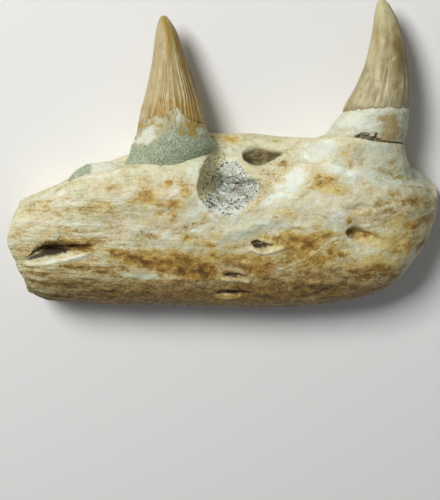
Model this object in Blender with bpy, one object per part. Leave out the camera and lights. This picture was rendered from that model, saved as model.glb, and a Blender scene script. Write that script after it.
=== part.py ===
"""Front end of a fossil mosasaur's right lower jaw with two teeth, lying on its inner side.

Metres, +Z up. +X runs along the jaw to the chin, +Y is the way the teeth point, and +Z is the
cheek side. The origin is on the floor, under the middle of the whole fossil's box.
"""

import math

import bmesh
import bpy
import numpy as np
from mathutils import Matrix, Vector

MM = 0.001
TOUCH_GAP = 0.3 * MM

# Jaw bone. Each station across the jaw, in mm: its place along X, the heights in Y of the inner
# rim, the cheek-side rim and the belly, and the thickness from the floor in Z.
STATIONS = (
    (-40.0, -9.4, -8.6, -27.4, 14.6),
    (-34.0, -7.0, -5.8, -28.9, 15.8),
    (-27.5, -3.8, -1.6, -29.5, 16.7),
    (-20.0, -0.6, 0.2, -29.9, 17.2),
    (-11.0, 2.8, 1.5, -30.1, 17.4),
    (-4.0, 4.3, 2.0, -30.2, 17.4),
    (3.0, 4.2, -1.0, -30.3, 17.2),
    (9.0, 3.9, -1.6, -30.4, 17.2),
    (15.0, 3.5, 1.2, -30.2, 17.4),
    (22.0, 3.0, 1.0, -29.4, 17.4),
    (29.0, 1.8, -0.4, -27.8, 16.8),
    (34.5, -0.6, -2.0, -24.7, 15.2),
    (38.6, -3.3, -4.2, -19.7, 12.0),
    (40.9, -5.3, -6.2, -14.8, 8.8),
)
CHIN_TIP = (41.9, -8.4, 4.4)
CHIN_TIP_SHARE = 0.45
RINGS_PER_STATION = 3
POINTS_AROUND = 32

# One section of the jaw, round from the inner rim over the cheek side to the belly and back
# along the floor: the rim its height is measured to, the share of the way from the belly to
# that rim, and the share of the thickness.
SECTION = (
    ("inner", 1.00, 0.20),
    ("middle", 0.97, 0.50),
    ("cheek", 0.99, 0.80),
    ("cheek", 0.84, 0.96),
    ("cheek", 0.56, 1.00),
    ("cheek", 0.30, 0.95),
    ("cheek", 0.10, 0.74),
    ("middle", 0.00, 0.34),
    ("inner", 0.06, 0.09),
    ("inner", 0.18, 0.01),
    ("inner", 0.36, -0.03),
    ("inner", 0.62, 0.04),
    ("inner", 0.90, -0.02),
)

# The broken rear end: places (Y, X) of its edge, and how rough and how hollow it is.
BREAK_EDGE = (
    (-29.5, -37.4),
    (-28.0, -38.4),
    (-24.9, -39.2),
    (-21.7, -39.6),
    (-20.5, -40.3),
    (-17.6, -41.4),
    (-15.9, -41.6),
    (-11.4, -40.3),
    (-9.4, -39.3),
    (-6.9, -37.2),
)
BREAK_HOLLOW = 0.5
BREAK_ROUGHNESS = 0.25
BREAK_RINGS = 5
BREAK_SEED = 7

# Hollows in the bone, in mm: centre, radii, and turns about Z, Y and X in degrees.
EMPTY_SOCKET = ((2.1, -2.9, 13.4), (6.9, 7.6, 7.6), (-14, 0, 24))
SMALL_PIT = ((6.9, 0.9, 8.2), (3.1, 3.0, 5.0), (20, 0, -12))
SMALL_PIT_TAIL = ((9.8, 2.2, 8.4), (3.4, 1.3, 2.6), (22, 0, 0))
NERVE_HOLES = (
    ((-32.2, -16.1, 15.6), (5.6, 1.15, 3.4), (10, 12, 0)),
    ((-28.0, -15.0, 16.3), (5.6, 1.7, 1.6), (8, 4, 0)),
    ((7.7, -14.4, 17.2), (2.3, 0.95, 2.4), (-6, 0, 0)),
    ((25.6, -12.2, 17.0), (1.9, 1.7, 2.6), (-20, -18, 0)),
    ((1.9, -20.9, 16.4), (2.0, 0.6, 1.6), (-4, 0, 20)),
    ((1.0, -25.6, 13.4), (2.3, 0.6, 1.5), (-4, 0, 50)),
)

# The groove along the inner side, in mm: points of its middle line with its radius.
INNER_GROOVE = (
    (-46.0, -24.6, 2.5),
    (-25.0, -25.2, 2.3),
    (-5.0, -25.6, 2.0),
    (12.0, -25.0, 1.6),
    (24.0, -23.0, 0.8),
)
GROOVE_CENTRE_Z = 0.1

# The nerve canal that the break opens, and the rock that fills it.
CANAL_CENTRE = (-41.0, -17.6, 7.6)
CANAL_RADII = (3.0, 3.2)
CANAL_DEPTH = 7.0
CANAL_ROCK_SETBACK = 1.4

# Level ovals about the Y axis, in mm: middle in X, Y and Z, half widths in X and Z, and how
# much the level rises for each mm of X and of Z.
FRONT_ROOT_LEVELS = (
    (28.8, 9.7, 8.6, 6.4, 5.7, 0.00, 0.31),
    (28.3, 8.2, 8.6, 6.75, 5.75, -0.04, 0.29),
    (27.8, 6.7, 8.6, 7.1, 5.85, -0.08, 0.27),
    (27.0, 4.9, 8.6, 7.6, 6.0, -0.13, 0.25),
)
FOOTING_LEVELS = (
    (26.9, 4.6, 8.6, 7.6, 6.0, -0.13, 0.25),
    (25.9, 3.0, 8.6, 8.9, 6.2, -0.13, 0.20),
    (26.1, 0.4, 8.6, 10.0, 6.3, -0.10, 0.10),
    (26.2, -5.0, 8.6, 9.0, 5.0, 0.00, 0.00),
)
ROCK_LEVELS = (
    (-9.4, 6.9, 8.6, 6.4, 5.9, 0.00, 0.50),
    (-9.3, 5.2, 8.6, 6.9, 6.2, 0.00, 0.35),
    (-9.3, 3.2, 8.6, 7.5, 6.3, 0.00, 0.15),
    (-10.3, 1.2, 8.5, 7.3, 6.0, 0.00, 0.00),
    (-11.1, -0.6, 8.4, 7.1, 5.4, 0.00, 0.00),
    (-10.8, -3.6, 8.4, 4.6, 3.8, 0.00, 0.00),
)
REAR_SOCKET_ROCK = ((-24.0, -3.1, 8.6), (5.6, 2.8, 4.8), (12, 0, 0))

# Tooth crowns, in mm: height in Y, middle in X and half width in X of each level.
FRONT_CROWN = (
    (10.0, 28.8, 6.4),
    (11.2, 29.0, 6.2),
    (13.1, 29.5, 5.7),
    (14.9, 30.0, 5.1),
    (16.8, 30.3, 4.6),
    (18.7, 30.45, 4.2),
    (20.5, 30.6, 3.8),
    (22.4, 30.6, 3.45),
    (24.2, 30.55, 3.05),
    (26.0, 30.4, 2.6),
    (27.5, 30.15, 2.1),
    (28.7, 29.8, 1.6),
    (29.7, 29.6, 1.15),
    (30.3, 29.5, 0.6),
)
REAR_CROWN = (
    (7.2, -9.4, 6.4),
    (10.2, -9.5, 5.65),
    (12.1, -9.5, 5.2),
    (14.0, -9.6, 4.7),
    (15.8, -9.65, 4.3),
    (17.7, -9.75, 3.9),
    (19.6, -9.9, 3.4),
    (21.4, -10.05, 2.9),
    (23.1, -10.25, 2.45),
    (24.8, -10.45, 1.9),
    (26.0, -10.65, 1.45),
    (26.9, -10.8, 1.05),
    (27.6, -10.9, 0.6),
)
# The base's middle in Z, depth in Z as a share of the width, how far the tip leans to the
# inner side, and how much the base rises for each mm of Z.
FRONT_CROWN_DEPTH = (8.6, 0.89, 2.3, 0.31)
REAR_CROWN_DEPTH = (8.6, 0.92, 1.8, 0.50)

COLOURS = {
    "fossil_bone": ((0.54, 0.45, 0.27), 0.62),
    "tooth_enamel": ((0.42, 0.31, 0.12), 0.30),
    "tooth_root": ((0.60, 0.62, 0.48), 0.60),
    "sandy_rock": ((0.33, 0.38, 0.28), 0.85),
}


def clear_scene():
    """Removes whatever the scene holds."""
    for obj in list(bpy.data.objects):
        bpy.data.objects.remove(obj, do_unlink=True)


def new_collection(name, hidden=False):
    """A collection in the scene, left out of renders if it holds helpers."""
    made = bpy.data.collections.new(name)
    bpy.context.scene.collection.children.link(made)
    made.hide_render = hidden
    return made


def make_materials():
    """One Principled material for each kind of stuff in the fossil."""
    made = {}
    for name, (colour, roughness) in COLOURS.items():
        material = bpy.data.materials.new(name)
        material.use_nodes = True
        shader = material.node_tree.nodes["Principled BSDF"]
        shader.inputs["Base Color"].default_value = (*colour, 1.0)
        shader.inputs["Roughness"].default_value = roughness
        shader.inputs["Metallic"].default_value = 0.0
        made[name] = material
    return made


def add_object(name, mesh, collection, material=None):
    """Links a new object for a mesh, shaded smooth with its breaks kept sharp."""
    obj = bpy.data.objects.new(name, mesh)
    collection.objects.link(obj)
    if material:
        mesh.materials.append(material)
    mesh.shade_smooth()
    mesh.set_sharp_from_angle(angle=math.radians(40))
    return obj


def add_helper(name, mesh, collection):
    """An object that only cuts or joins: drawn as a wire and left out of renders."""
    obj = bpy.data.objects.new(name, mesh)
    collection.objects.link(obj)
    obj.hide_render = True
    obj.display_type = "WIRE"
    return obj


def skin_rings(name, rings):
    """Joins equal rings of points, in order, into one closed mesh with a fan over each end."""
    rings = np.asarray(rings, float)
    levels, around = rings.shape[:2]
    ends = (rings[0].mean(axis=0), rings[-1].mean(axis=0))
    points = [*rings.reshape(-1, 3), *ends]
    faces = []
    for level in range(levels - 1):
        for k in range(around):
            low, high = level * around + k, level * around + (k + 1) % around
            faces.append((low, high, high + around, low + around))
    first, last = levels * around, levels * around + 1
    for k in range(around):
        following = (k + 1) % around
        faces.append((first, following, k))
        faces.append((last, (levels - 1) * around + k, (levels - 1) * around + following))
    mesh = bpy.data.meshes.new(name)
    mesh.from_pydata([tuple(p) for p in points], [], faces)
    shape = bmesh.new()
    shape.from_mesh(mesh)
    bmesh.ops.recalc_face_normals(shape, faces=shape.faces)
    bmesh.ops.triangulate(shape, faces=shape.faces)
    shape.to_mesh(mesh)
    shape.free()
    return mesh


def smooth_through(points, steps, closed):
    """Catmull-Rom curve through the first axis of points, with steps samples to each span."""
    count = len(points)
    if closed:
        before, after, later = (np.roll(points, -k, axis=0) for k in (-1, 1, 2))
    else:
        first = 2 * points[:1] - points[1:2]
        last = 2 * points[-1:] - points[-2:-1]
        longer = np.concatenate([first, points, last])
        before, points, after, later = (longer[k : k + count - 1] for k in range(4))
    samples = []
    for t in np.arange(steps) / steps:
        samples.append(
            0.5
            * (
                2 * points
                + (after - before) * t
                + (2 * before - 5 * points + 4 * after - later) * t**2
                + (3 * points - before - 3 * after + later) * t**3
            )
        )
    curve = np.stack(samples, axis=1).reshape(-1, *points.shape[1:])
    return curve if closed else np.concatenate([curve, after[-1:]])


def resample_ring(ring, count):
    """A closed ring of points with equal distances between them."""
    loop = np.concatenate([ring, ring[:1]])
    lengths = np.linalg.norm(np.diff(loop, axis=0), axis=1)
    travelled = np.concatenate([[0], np.cumsum(lengths)])
    wanted = np.linspace(0, travelled[-1], count, endpoint=False)
    return np.stack([np.interp(wanted, travelled, loop[:, axis]) for axis in range(3)], axis=1)


def break_line(height):
    """Where the broken rear end meets the jaw's side, in X, for a height in Y."""
    heights, places = zip(*BREAK_EDGE, strict=True)
    return float(np.interp(height, heights, places))


def jaw_section(station, at_break):
    """The cage points of one section of the jaw."""
    x, inner, cheek, belly, thickness = station
    rims = {"inner": inner, "cheek": cheek, "middle": (inner + cheek) / 2}
    ring = []
    for rim, height_share, thickness_share in SECTION:
        y = belly + (rims[rim] - belly) * height_share
        ring.append((break_line(y) if at_break else x, y, thickness * thickness_share))
    return ring


def jaw_rings():
    """All the rings of the jaw, from the middle of its broken end to the tip of the chin."""
    cage = [jaw_section(station, k == 0) for k, station in enumerate(STATIONS)]
    last = np.array(cage[-1], float)
    tip = np.array(CHIN_TIP) + CHIN_TIP_SHARE * (last - last.mean(axis=0))
    along = smooth_through(np.array([*cage, tip], float), RINGS_PER_STATION, closed=False)
    rings = [resample_ring(smooth_through(ring, 8, closed=True), POINTS_AROUND) for ring in along]
    rough = np.random.default_rng(BREAK_SEED)
    edge = rings[0]
    middle = edge.mean(axis=0)
    capped = []
    for share in np.arange(1, BREAK_RINGS) / BREAK_RINGS:
        inward = middle + (edge - middle) * share
        inward[:, 0] += BREAK_HOLLOW * (1 - share)
        inward[:, 0] += rough.normal(0, BREAK_ROUGHNESS, len(edge))
        capped.append(inward)
    return np.array([*capped, *rings]) * MM


def oval_ring(level, grow=0.0, count=32):
    """One oval about the Y axis, in mm."""
    x, y, z, half_x, half_z, slope_x, slope_z = level
    turn = np.linspace(0, 2 * math.pi, count, endpoint=False)
    across, deep = (half_x + grow) * np.cos(turn), (half_z + grow) * np.sin(turn)
    return np.stack((x + across, y + slope_x * across + slope_z * deep, z + deep), axis=1)


def oval_rings(levels, grow=0.0):
    """The ovals of a footing or filling, grown outwards by a gap in every direction."""
    rings = [oval_ring(level, grow) for level in levels]
    rings[0][:, 1] += grow
    rings[-1][:, 1] -= grow
    return np.array(rings) * MM


def crown_rings(levels, depth):
    """A crown through its measured levels. Its base is tilted and its tip leans inwards."""
    base_z, flatness, lean, slope = depth
    low, high = levels[0][0], levels[-1][0]
    rings = []
    for y, x, half in levels:
        share = (y - low) / (high - low)
        level_slope = slope * (1 - share) ** 1.5
        z = base_z - lean * share**2
        rings.append(oval_ring((x, y, z, half, half * flatness, 0.0, level_slope)))
    return np.array(rings) * MM


def ellipsoid(name, centre, radii, turns, collection, grow=0.0):
    """A ball stretched to three radii, turned about Z, Y and X, for a hollow or a filling."""
    ball = bmesh.new()
    bmesh.ops.create_uvsphere(ball, u_segments=20, v_segments=12, radius=1.0)
    stretch = Matrix.Diagonal((*((r + grow) * MM for r in radii), 1.0))
    about_z, about_y, about_x = (math.radians(a) for a in turns)
    turned = (
        Matrix.Rotation(about_z, 4, "Z")
        @ Matrix.Rotation(about_y, 4, "Y")
        @ Matrix.Rotation(about_x, 4, "X")
    )
    place = Matrix.Translation(Vector(centre) * MM)
    bmesh.ops.transform(ball, matrix=place @ turned @ stretch, verts=ball.verts)
    bmesh.ops.triangulate(ball, faces=ball.faces)
    mesh = bpy.data.meshes.new(name)
    ball.to_mesh(mesh)
    ball.free()
    return add_helper(name, mesh, collection)


def floor_block(collection):
    """A block whose top is the floor, which cuts the flats that the fossil lies on."""
    block = bmesh.new()
    bmesh.ops.create_cube(block, size=0.2)
    bmesh.ops.translate(block, verts=block.verts, vec=(0, 0, -0.1))
    mesh = bpy.data.meshes.new("floor_block")
    block.to_mesh(mesh)
    block.free()
    return add_helper("floor_block", mesh, collection)


def groove_cutter(collection):
    """The tapering groove of the inner side, as a tube along a curve."""
    turn = np.linspace(0, 2 * math.pi, 16, endpoint=False)
    line = smooth_through(np.array(INNER_GROOVE, float), 4, closed=False)
    rings = []
    for x, y, radius in line:
        ring = (np.full(16, x), y + radius * np.cos(turn), GROOVE_CENTRE_Z + radius * np.sin(turn))
        rings.append(np.stack(ring, axis=1))
    return add_helper("groove", skin_rings("groove", np.array(rings) * MM), collection)


def canal_rings(front, back, grow):
    """A short oval rod along X, from one place to another."""
    turn = np.linspace(0, 2 * math.pi, 20, endpoint=False)
    rings = []
    for x in (front, back):
        y = CANAL_CENTRE[1] + (CANAL_RADII[0] + grow) * np.cos(turn)
        z = CANAL_CENTRE[2] + (CANAL_RADII[1] + grow) * np.sin(turn)
        rings.append(np.stack((np.full(20, x), y, z), axis=1))
    return np.array(rings) * MM


def boolean(obj, operation, helpers):
    """Cuts or joins a whole collection of helpers, and keeps the result as the object's mesh."""
    step = obj.modifiers.new(helpers.name, "BOOLEAN")
    step.operation = operation
    step.operand_type = "COLLECTION"
    step.collection = helpers
    step.solver = "EXACT"
    graph = bpy.context.evaluated_depsgraph_get()
    made = bpy.data.meshes.new_from_object(obj.evaluated_get(graph))
    obj.modifiers.clear()
    obj.data = made


def build_jaw(parts, bone):
    """The jaw bone: a loft, joined with the front tooth's footing, then hollowed."""
    jaw = add_object("jaw_bone", skin_rings("jaw_bone", jaw_rings()), parts, bone)
    joined = new_collection("joined_to_jaw", hidden=True)
    footing = skin_rings("footing", oval_rings(FOOTING_LEVELS))
    add_helper("footing", footing, joined)
    boolean(jaw, "UNION", joined)
    gap = TOUCH_GAP / MM
    cutters = new_collection("cut_from_jaw", hidden=True)
    seat = skin_rings("rock_seat", oval_rings(ROCK_LEVELS, grow=gap))
    add_helper("rock_seat", seat, cutters)
    canal = skin_rings("canal", canal_rings(-50.0, CANAL_CENTRE[0] + CANAL_DEPTH, 0.0))
    add_helper("canal", canal, cutters)
    ellipsoid("rear_socket", *REAR_SOCKET_ROCK, cutters, grow=gap)
    ellipsoid("empty_socket", *EMPTY_SOCKET, cutters)
    ellipsoid("small_pit", *SMALL_PIT, cutters)
    ellipsoid("small_pit_tail", *SMALL_PIT_TAIL, cutters)
    groove_cutter(cutters)
    floor_block(cutters)
    for k, hole in enumerate(NERVE_HOLES):
        ellipsoid(f"nerve_hole_{k + 1}", *hole, cutters)
    boolean(jaw, "DIFFERENCE", cutters)
    return jaw


def build_front_tooth(parts, enamel, root):
    """The front tooth: its crown, and the pale root between the crown and the crack."""
    stub = skin_rings("front_tooth_root", oval_rings(FRONT_ROOT_LEVELS))
    add_object("front_tooth_root", stub, parts, root)
    crown = skin_rings("front_tooth_crown", crown_rings(FRONT_CROWN, FRONT_CROWN_DEPTH))
    add_object("front_tooth_crown", crown, parts, enamel)


def build_rear_tooth(parts, enamel, rock):
    """The rear tooth's crown, and the flared collar of rock round its foot."""
    collar = skin_rings("rear_tooth_rock", oval_rings(ROCK_LEVELS))
    add_object("rear_tooth_rock", collar, parts, rock)
    crown = skin_rings("rear_tooth_crown", crown_rings(REAR_CROWN, REAR_CROWN_DEPTH))
    add_object("rear_tooth_crown", crown, parts, enamel)


def build_rock_fillings(parts, helpers, rock):
    """The rock in the broken rear socket and in the nerve canal."""
    lens = ellipsoid("rear_socket_lens", *REAR_SOCKET_ROCK, helpers)
    add_object("rear_socket_rock", lens.data.copy(), parts, rock)
    gap = TOUCH_GAP / MM
    back = CANAL_CENTRE[0] + CANAL_ROCK_SETBACK
    front = CANAL_CENTRE[0] + CANAL_DEPTH - gap
    plug = skin_rings("canal_rock", canal_rings(back, front, -gap))
    add_object("canal_rock", plug, parts, rock)


def main():
    clear_scene()
    parts = new_collection("mosasaur_jaw")
    helpers = new_collection("helpers", hidden=True)
    stuff = make_materials()
    build_jaw(parts, stuff["fossil_bone"])
    build_front_tooth(parts, stuff["tooth_enamel"], stuff["tooth_root"])
    build_rear_tooth(parts, stuff["tooth_enamel"], stuff["sandy_rock"])
    build_rock_fillings(parts, helpers, stuff["sandy_rock"])


main()
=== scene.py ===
# %% [markdown]
# # A fossil mosasaur jaw
# The front end of a right lower jaw, as long as a finger, with two teeth still standing in it.
# The solids come in first as a fixed frame. They have the right shape and size but no
# finish, so every piece below is skinned again, finer, in exactly the same place.

# %% Load the fixed frame
import math

import bpy
import numpy as np
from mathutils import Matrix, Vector


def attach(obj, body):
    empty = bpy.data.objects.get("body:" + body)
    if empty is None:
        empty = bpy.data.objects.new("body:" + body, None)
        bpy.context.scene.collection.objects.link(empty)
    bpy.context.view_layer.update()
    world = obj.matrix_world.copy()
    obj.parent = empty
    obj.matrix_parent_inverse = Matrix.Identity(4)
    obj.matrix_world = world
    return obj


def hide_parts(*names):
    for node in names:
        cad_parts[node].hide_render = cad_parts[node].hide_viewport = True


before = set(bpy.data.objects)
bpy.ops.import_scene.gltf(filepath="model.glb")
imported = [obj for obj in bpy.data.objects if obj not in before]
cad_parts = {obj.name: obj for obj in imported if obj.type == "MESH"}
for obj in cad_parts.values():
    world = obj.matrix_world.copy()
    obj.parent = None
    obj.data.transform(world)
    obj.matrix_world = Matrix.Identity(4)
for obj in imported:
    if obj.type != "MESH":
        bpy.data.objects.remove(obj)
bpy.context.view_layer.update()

MM = 0.001
print("solids:", ", ".join(sorted(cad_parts)))

# %% [markdown]
# ## Camera
# The fossil lies on its inner side and the camera looks down on its cheek, leaning 20 degrees
# towards the tooth tips. A long lens from 28 cm keeps the teeth from bulging. All lengths in
# this file are in millimetres until a mesh or a lamp is made.

# %% The camera
TARGET = np.array([-0.35, -17.95, 8.0])
DISTANCE = 280.0
LEAN = math.radians(20)
PICTURE_HEIGHT = 97.5
SENSOR = 36.0

BACK = np.array([0.0, math.sin(LEAN), math.cos(LEAN)])
EYE = TARGET + DISTANCE * BACK

lens = bpy.data.cameras.new("camera")
lens.sensor_fit = "VERTICAL"
lens.sensor_height = SENSOR
lens.lens = SENSOR * DISTANCE / PICTURE_HEIGHT
lens.clip_start = 0.01
camera = bpy.data.objects.new("camera", lens)
camera.location = EYE * MM
camera.rotation_euler = (-LEAN, 0, 0)
bpy.context.scene.collection.objects.link(camera)
bpy.context.scene.camera = camera
print(f"focal length {lens.lens:.1f} mm")

# %% [markdown]
# ## Tools for numpy surfaces
# A fossil is an irregular thing, so each piece is a formula on a grid: rows along the piece and
# columns around it. Three tools do most of the work: a smooth curve through a few sizes, noise
# that is the same on every run, and a function that turns a grid into one closed mesh.


# %% Curves through a few sizes
def along(points, places, closed=False):
    """Catmull-Rom curve through the rows of points, read at places counted in rows."""
    points = np.asarray(points, float)
    if closed:
        longer = np.concatenate([points[-1:], points, points[:2]])
        spans = len(points)
    else:
        first, last = 2 * points[:1] - points[1:2], 2 * points[-1:] - points[-2:-1]
        longer = np.concatenate([first, points, last])
        spans = len(points) - 1
    index = np.clip(np.floor(places).astype(int), 0, spans - 1)
    t = (places - index).reshape(-1, *[1] * (points.ndim - 1))
    before, start, end, after = (longer[index + k] for k in range(4))
    return 0.5 * (
        2 * start
        + (end - before) * t
        + (2 * before - 5 * start + 4 * end - after) * t**2
        + (3 * start - before - 3 * end + after) * t**3
    )


def smoothstep(low, high, value):
    """0 below low, 1 above high, and an eased ramp between. It falls if low is above high."""
    t = np.clip((value - low) / (high - low), 0, 1)
    return t * t * (3 - 2 * t)


def paced(low, high, step_at):
    """Places from low to high whose spacing follows the step wished for at each place."""
    fine = np.linspace(low, high, 4001)
    travelled = np.concatenate([[0], np.cumsum(np.diff(fine) / step_at(fine[:-1]))])
    wanted = np.linspace(0, travelled[-1], int(travelled[-1]) + 1)
    return np.interp(wanted, travelled, fine)


# %% Noise that repeats on every run
# The usual odd numbers for scrambling whole numbers of 32 bits.
AXIS_PRIMES = np.array([73856093, 19349663, 83492791])
SEED_PRIME = 2654435761
SCRAMBLES = ((15, 2246822519), (13, 3266489917), (16, 1))
LARGEST = 0xFFFFFFFF
OCTAVE_SHIFT, FRACTAL_GAIN = 31.7, 1.6


def cell_values(cells, seed):
    """A fixed number from 0 to 1 for each whole-number cell, by scrambling its coordinates."""
    mixed = (cells.astype(np.int64) @ AXIS_PRIMES + seed * SEED_PRIME) & LARGEST
    for shift, prime in SCRAMBLES:
        mixed = ((mixed ^ (mixed >> shift)) * prime) & LARGEST
    return mixed / LARGEST


def noise(points, size, seed):
    """Noise from -1 to 1: random values on a lattice of this size, blended by eased weights."""
    scaled = points / np.asarray(size, float)
    cells = np.floor(scaled)
    ease = scaled - cells
    ease = ease * ease * (3 - 2 * ease)
    total = np.zeros(points.shape[:-1])
    for corner in np.ndindex(2, 2, 2):
        weight = np.prod(np.where(corner, ease, 1 - ease), axis=-1)
        total += weight * cell_values(cells + corner, seed)
    return 2 * total - 1


def fractal(points, size, seed, octaves=4):
    """Noise with ever finer copies of itself added, each half as large and half as strong."""
    total, strength = 0.0, 0.0
    for k in range(octaves):
        shifted = points + OCTAVE_SHIFT * k
        total = total + noise(shifted, np.asarray(size) / 2**k, seed + k) / 2**k
        strength += 1 / 2**k
    return total / strength * FRACTAL_GAIN


def pores(points, spacing, radius, share, seed):
    """1 at the middle of scattered round pores, 0 outside them. Each cell holds one at most."""
    scaled = points / np.asarray(spacing, float)
    home = np.floor(scaled)
    deepest = np.zeros(points.shape[:-1])
    for corner in np.ndindex(3, 3, 3):
        cell = home + np.array(corner) - 1
        place = [0.2 + 0.6 * cell_values(cell, seed + k) for k in range(3)]
        away = np.linalg.norm(scaled - cell - np.stack(place, axis=-1), axis=-1)
        size = radius * (0.5 + 0.5 * cell_values(cell, seed + 3))
        there = cell_values(cell, seed + 4) < share
        deepest = np.maximum(deepest, there * (1 - smoothstep(0.3, 1.0, away / size)))
    return deepest


# %% From a grid to a closed mesh
def grid_normals(grid):
    """Outward unit normals: the way round crossed with the way along, at each point."""
    lengthwise = np.gradient(grid, axis=0)
    round_it = np.roll(grid, -1, axis=1) - np.roll(grid, 1, axis=1)
    normal = np.cross(round_it, lengthwise)
    normal /= np.maximum(np.linalg.norm(normal, axis=-1, keepdims=True), 1e-9)
    outwards = np.sum(normal * (grid - grid.mean(axis=1, keepdims=True)))
    return normal * np.sign(outwards)


def puffed(grid, height):
    """The grid moved out along its own normals by a height in mm at each point."""
    return grid + grid_normals(grid) * height[..., None]


def closed_faces(rows, columns):
    """Quads between neighbouring rows, and a fan from each end row to a middle point."""
    index = np.arange(rows * columns).reshape(rows, columns)
    following = np.roll(index, -1, axis=1)
    quads = np.stack([index[:-1], following[:-1], following[1:], index[1:]], axis=-1)
    first, last = np.full(columns, rows * columns), np.full(columns, rows * columns + 1)
    start = np.stack([first, following[0], index[0]], axis=-1)
    end = np.stack([last, index[-1], following[-1]], axis=-1)
    return quads.reshape(-1, 4), np.concatenate([start, end])


def volume_of(points, quads, fans):
    """Signed volume in cubic mm: the sum of the boxes spanned by each triangle's corners."""
    triangles = np.concatenate([quads[:, [0, 1, 2]], quads[:, [0, 2, 3]], fans])
    a, b, c = (points[triangles[:, k]] for k in range(3))
    return float(np.einsum("ij,ij->", a, np.cross(b, c)) / 6)


def add_piece(name, grid, masks, material, replaced):
    """A closed piece from a grid in mm, with its masks as attributes, riding on the fossil."""
    rows, columns = grid.shape[:2]
    points = np.concatenate([grid.reshape(-1, 3), grid[[0, -1]].mean(axis=1)])
    quads, fans = closed_faces(rows, columns)
    volume = volume_of(points, quads, fans)
    if volume < 0:
        quads, fans = quads[:, ::-1], fans[:, ::-1]
    mesh = bpy.data.meshes.new(name)
    mesh.from_pydata(points * MM, [], [*quads.tolist(), *fans.tolist()])
    for mask, values in masks.items():
        values = np.broadcast_to(values, (rows, columns))
        ends = values[[0, -1]].mean(axis=1)
        layer = mesh.attributes.new(mask, "FLOAT", "POINT")
        layer.data.foreach_set("value", np.concatenate([values.ravel(), ends]).astype(np.float32))
    mesh.shade_smooth()
    mesh.materials.append(material)
    piece = bpy.data.objects.new(name, mesh)
    bpy.context.scene.collection.objects.link(piece)
    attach(piece, "root")
    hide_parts(replaced)
    triangles = 2 * len(quads) + len(fans)
    print(f"{name}: {triangles} triangles, {abs(volume) / 1000:.2f} cubic cm")


# %% [markdown]
# ## Placing marks on the cheek
# Stains, holes and lips are laid out on a flat sheet at the cheek's level, 16 mm above the
# floor, as an illustrator plots them on a plate. A point of the skin belongs to the place where
# the line from the eye to it crosses that sheet. It is worked out once, here, and kept in the
# mesh, so the marks stay put from every side.

# %% The plate that marks are plotted on
CHEEK_LEVEL = 16.0


def on_plate(points):
    """X and Y, in mm, where the line from the eye to each point crosses the cheek's level."""
    share = (CHEEK_LEVEL - EYE[2]) / (points[..., 2] - EYE[2])
    return EYE[:2] + (points[..., :2] - EYE[:2]) * share[..., None]


def oval_reach(plate, place):
    """0 in the middle of a turned oval, 1 on its outline, and growing evenly outside."""
    x, y, half_length, half_width, turn = place
    turn = math.radians(turn)
    away = plate - np.array([x, y])
    long_way = away[..., 0] * math.cos(turn) + away[..., 1] * math.sin(turn)
    short_way = away[..., 1] * math.cos(turn) - away[..., 0] * math.sin(turn)
    return np.hypot(long_way / half_length, short_way / half_width)


HILL_FALL = 1.1


def hills(plate, places):
    """The sum of soft hills over turned ovals, each with its height last: all of it in the
    middle, a third of it at the edge of the oval, then nothing."""
    total = np.zeros(plate.shape[:-1])
    for *place, height in places:
        total += height * np.exp(-HILL_FALL * oval_reach(plate, place) ** 2)
    return total


PICTURE_SIZE = (440, 500)
UP = np.array([0.0, math.cos(LEAN), -math.sin(LEAN)])


def plotted(x, y):
    """X and Y, in mm, of the place on the plate that the camera shows at a pixel."""
    focal = PICTURE_SIZE[1] * DISTANCE / PICTURE_HEIGHT
    ray = UP * (PICTURE_SIZE[1] / 2 - y) - BACK * focal
    ray[0] += x - PICTURE_SIZE[0] / 2
    return (EYE + ray * (CHEEK_LEVEL - EYE[2]) / ray[2])[:2]


PIXEL = plotted(221, 250)[0] - plotted(220, 250)[0]
PATCH_EDGE = (1.45, 0.40)


def patches(plate, places, wander):
    """Sums over ragged ovals plotted in pixels, one sum for each amount that the rows end in:
    amount x smoothstep of the reach of the oval, which the wander pushes in and out."""
    sums = 0.0
    for x, y, half_length, half_width, turn, *amounts in places:
        oval = (*plotted(x, y), half_length * PIXEL, half_width * PIXEL, turn)
        inside = smoothstep(*PATCH_EDGE, oval_reach(plate, oval) + wander)
        sums = sums + np.multiply.outer(amounts, inside)
    return sums


def line_distance(plate, line):
    """Distance from each place on the plate to a line of a few points."""
    line = np.asarray(line, float)
    nearest = np.full(plate.shape[:-1], np.inf)
    for start, end in zip(line[:-1], line[1:], strict=True):
        way = end - start
        share = np.clip((plate - start) @ way / (way @ way), 0, 1)
        away = np.linalg.norm(plate - start - share[..., None] * way, axis=-1)
        nearest = np.minimum(nearest, away)
    return nearest


# %% [markdown]
# ## The jaw bone
# A lower jaw is a tapering beam, so it is skinned from sections across it. Each station gives
# the height of the inner rim, the cheek rim and the belly, and the thickness. One section
# shape, a loop of thirteen places, is stretched to each station.

# %% Stations and section
# X of the station, inner rim, cheek rim and belly in Y, thickness in Z.
STATIONS = np.array([
    (-40.0, -9.4, -8.6, -27.4, 14.6),
    (-34.0, -7.0, -5.8, -28.9, 15.8),
    (-27.5, -3.8, -1.6, -29.5, 16.7),
    (-20.0, -0.6, 0.2, -29.9, 17.2),
    (-11.0, 2.9, 2.0, -30.1, 17.4),
    (-4.0, 4.3, 2.0, -30.2, 17.4),
    (3.0, 4.2, -1.0, -30.3, 17.2),
    (9.0, 3.9, -1.6, -30.4, 17.2),
    (15.0, 3.5, 1.2, -30.2, 17.4),
    (22.0, 3.0, 1.0, -29.4, 17.4),
    (29.0, 1.8, -0.4, -27.8, 16.8),
    (34.5, -0.9, -2.1, -24.7, 15.2),
    (38.5, -3.7, -4.5, -19.7, 12.0),
    (40.8, -5.7, -6.6, -14.8, 8.8),
])
CHIN_TIP = np.array([41.8, -8.7, 4.4])
CHIN_TIP_SHARE = 0.45

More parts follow.
